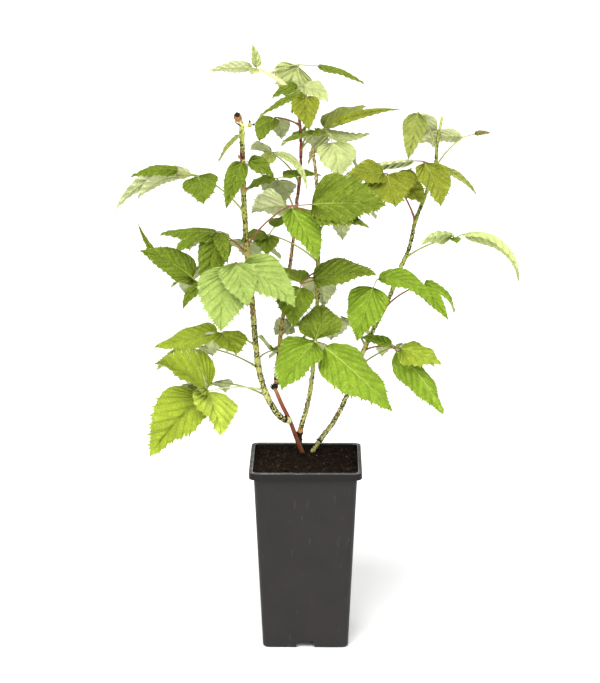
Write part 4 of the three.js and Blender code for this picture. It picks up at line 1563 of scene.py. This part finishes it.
class RASPBERRY_OT_stalks(bpy.types.Operator):
    """Grow the leaf stalks with their midribs and stipules"""

    bl_idname = "raspberry.stalks"
    bl_label = "Stalks"

    def execute(self, context):
        palette = Palette(context.scene)
        for stem, leaves in LEAVES.items():
            sheaf = Sheaf(stem.replace("cane", "stalks"), palette)
            for seed, leaf in enumerate(leaves):
                stalks(sheaf, leaf, seed)
            settle(sheaf.make(smooth=60), "leaf", *[leaf.name for leaf in leaves])
        return {"FINISHED"}


class RASPBERRY_OT_leaves(bpy.types.Operator):
    """Grow the pleated and toothed leaflets"""

    bl_idname = "raspberry.leaves"
    bl_label = "Leaves"

    def execute(self, context):
        palette = Palette(context.scene)
        settings = context.scene.raspberry_leaf
        for stem, leaves in LEAVES.items():
            for first in range(0, len(leaves), MOST_LEAVES):
                group = leaves[first:first + MOST_LEAVES]
                sheaf = Sheaf(stem.replace("cane", "leaves") + ("_upper" if first else ""), palette)
                for leaf in group:
                    hub = stalk_line(leaf)[-1]
                    for i, (leaflet, tone) in enumerate(zip(leaf.leaflets, leaf.tones)):
                        base, _ = leaflet_base(hub, leaflet)
                        blade(sheaf, base, leaflet, tone, leaf.height + 17 * i, settings)
                settle(sheaf.make(smooth=70), "leaf", *[leaf.name for leaf in group])
        return {"FINISHED"}


def hang_light(kind, name, place, turn, energy, **fields):
    """Adds a light, with its other fields set on its data."""
    lamp = added(bpy.ops.object.light_add, name, type=kind, location=place)
    lamp.rotation_euler = turn
    lamp.data.energy = energy
    for field, value in fields.items():
        setattr(lamp.data, field, value)


FLOOR_SIZE = 60
FLOOR_LEVEL = -0.2 * MM


class RASPBERRY_OT_stage(bpy.types.Operator):
    """Lay the pale floor, hang the soft lights and set the camera"""

    bl_idname = "raspberry.stage"
    bl_label = "Stage"

    def execute(self, context):
        size = context.scene.raspberry_stage
        ground = (0, 0, FLOOR_LEVEL)
        floor = added(bpy.ops.mesh.primitive_plane_add, "floor", size=FLOOR_SIZE, location=ground)
        finish = Finish("floor_paper")
        paper = tuple(size.floor)
        tint = finish.between(finish.clouds(3, 2), 0.3, 0.7)
        floor.data.materials.append(finish.surface(finish.mix(tint, paper, shade(paper, 0.97)), 0.9))
        level = math.pi / 2
        key_turn = (level - size.key_height, 0, -size.key_side)
        hang_light("SUN", "key_light", (-0.9, -1.6, 2.4), key_turn, size.key, angle=size.key_width)
        fill_turn = (level - size.fill_height, 0, 2 * size.key_side)
        hang_light("SUN", "fill_light", (0.9, -2.2, 0.9), fill_turn, size.fill, angle=1.5 * size.key_width)
        low_turn = (math.pi - size.low_tilt, 0, 0)
        panel = {"shape": "RECTANGLE", "size": 1.4, "size_y": 0.5}
        hang_light("AREA", "low_light", (0, -1.0, 0.03), low_turn, size.low, **panel)
        world = bpy.data.worlds.new("studio_light")
        world.use_nodes = True
        world.node_tree.nodes["Background"].inputs["Color"].default_value = (*WHITE, 1)
        world.node_tree.nodes["Background"].inputs["Strength"].default_value = size.sky
        context.scene.world = world
        context.scene.view_settings.view_transform = "Standard"
        place = (size.aside, -size.distance, size.eye)
        turn = (size.tilt, 0, size.turn)
        camera = added(bpy.ops.object.camera_add, "Camera", location=place, rotation=turn)
        camera.data.lens = size.lens
        camera.data.sensor_fit = "AUTO"
        context.scene.camera = camera
        return {"FINISHED"}


STEPS = (
    RASPBERRY_OT_pot, RASPBERRY_OT_compost, RASPBERRY_OT_crumbs, RASPBERRY_OT_stems, RASPBERRY_OT_prickles,
    RASPBERRY_OT_scars, RASPBERRY_OT_shoot_tip, RASPBERRY_OT_stalks, RASPBERRY_OT_leaves, RASPBERRY_OT_stage,
)


class RASPBERRY_PT_panel(bpy.types.Panel):
    """Lists the settings and the parts in the sidebar"""

    bl_label = "Raspberry"
    bl_idname = "RASPBERRY_PT_panel"
    bl_space_type = "VIEW_3D"
    bl_region_type = "UI"
    bl_category = "Raspberry"

    def draw(self, context):
        for name, group in SETTINGS.items():
            box = self.layout.box()
            box.label(text=group.__doc__.rstrip("."))
            for field in group.__annotations__:
                box.prop(getattr(context.scene, name), field)
        for step in STEPS:
            self.layout.operator(step.bl_idname)


CLASSES = (*SETTINGS.values(), *STEPS, RASPBERRY_PT_panel)


def register():
    for cls in CLASSES:
        bpy.utils.register_class(cls)
    for name, group in SETTINGS.items():
        setattr(bpy.types.Scene, name, PointerProperty(type=group))


def unregister():
    for name in SETTINGS:
        delattr(bpy.types.Scene, name)
    for cls in reversed(CLASSES):
        bpy.utils.unregister_class(cls)


def main():
    register()
    for step in STEPS:
        area, name = step.bl_idname.split(".")
        getattr(getattr(bpy.ops, area), name)()


if __name__ == "__main__":
    main()
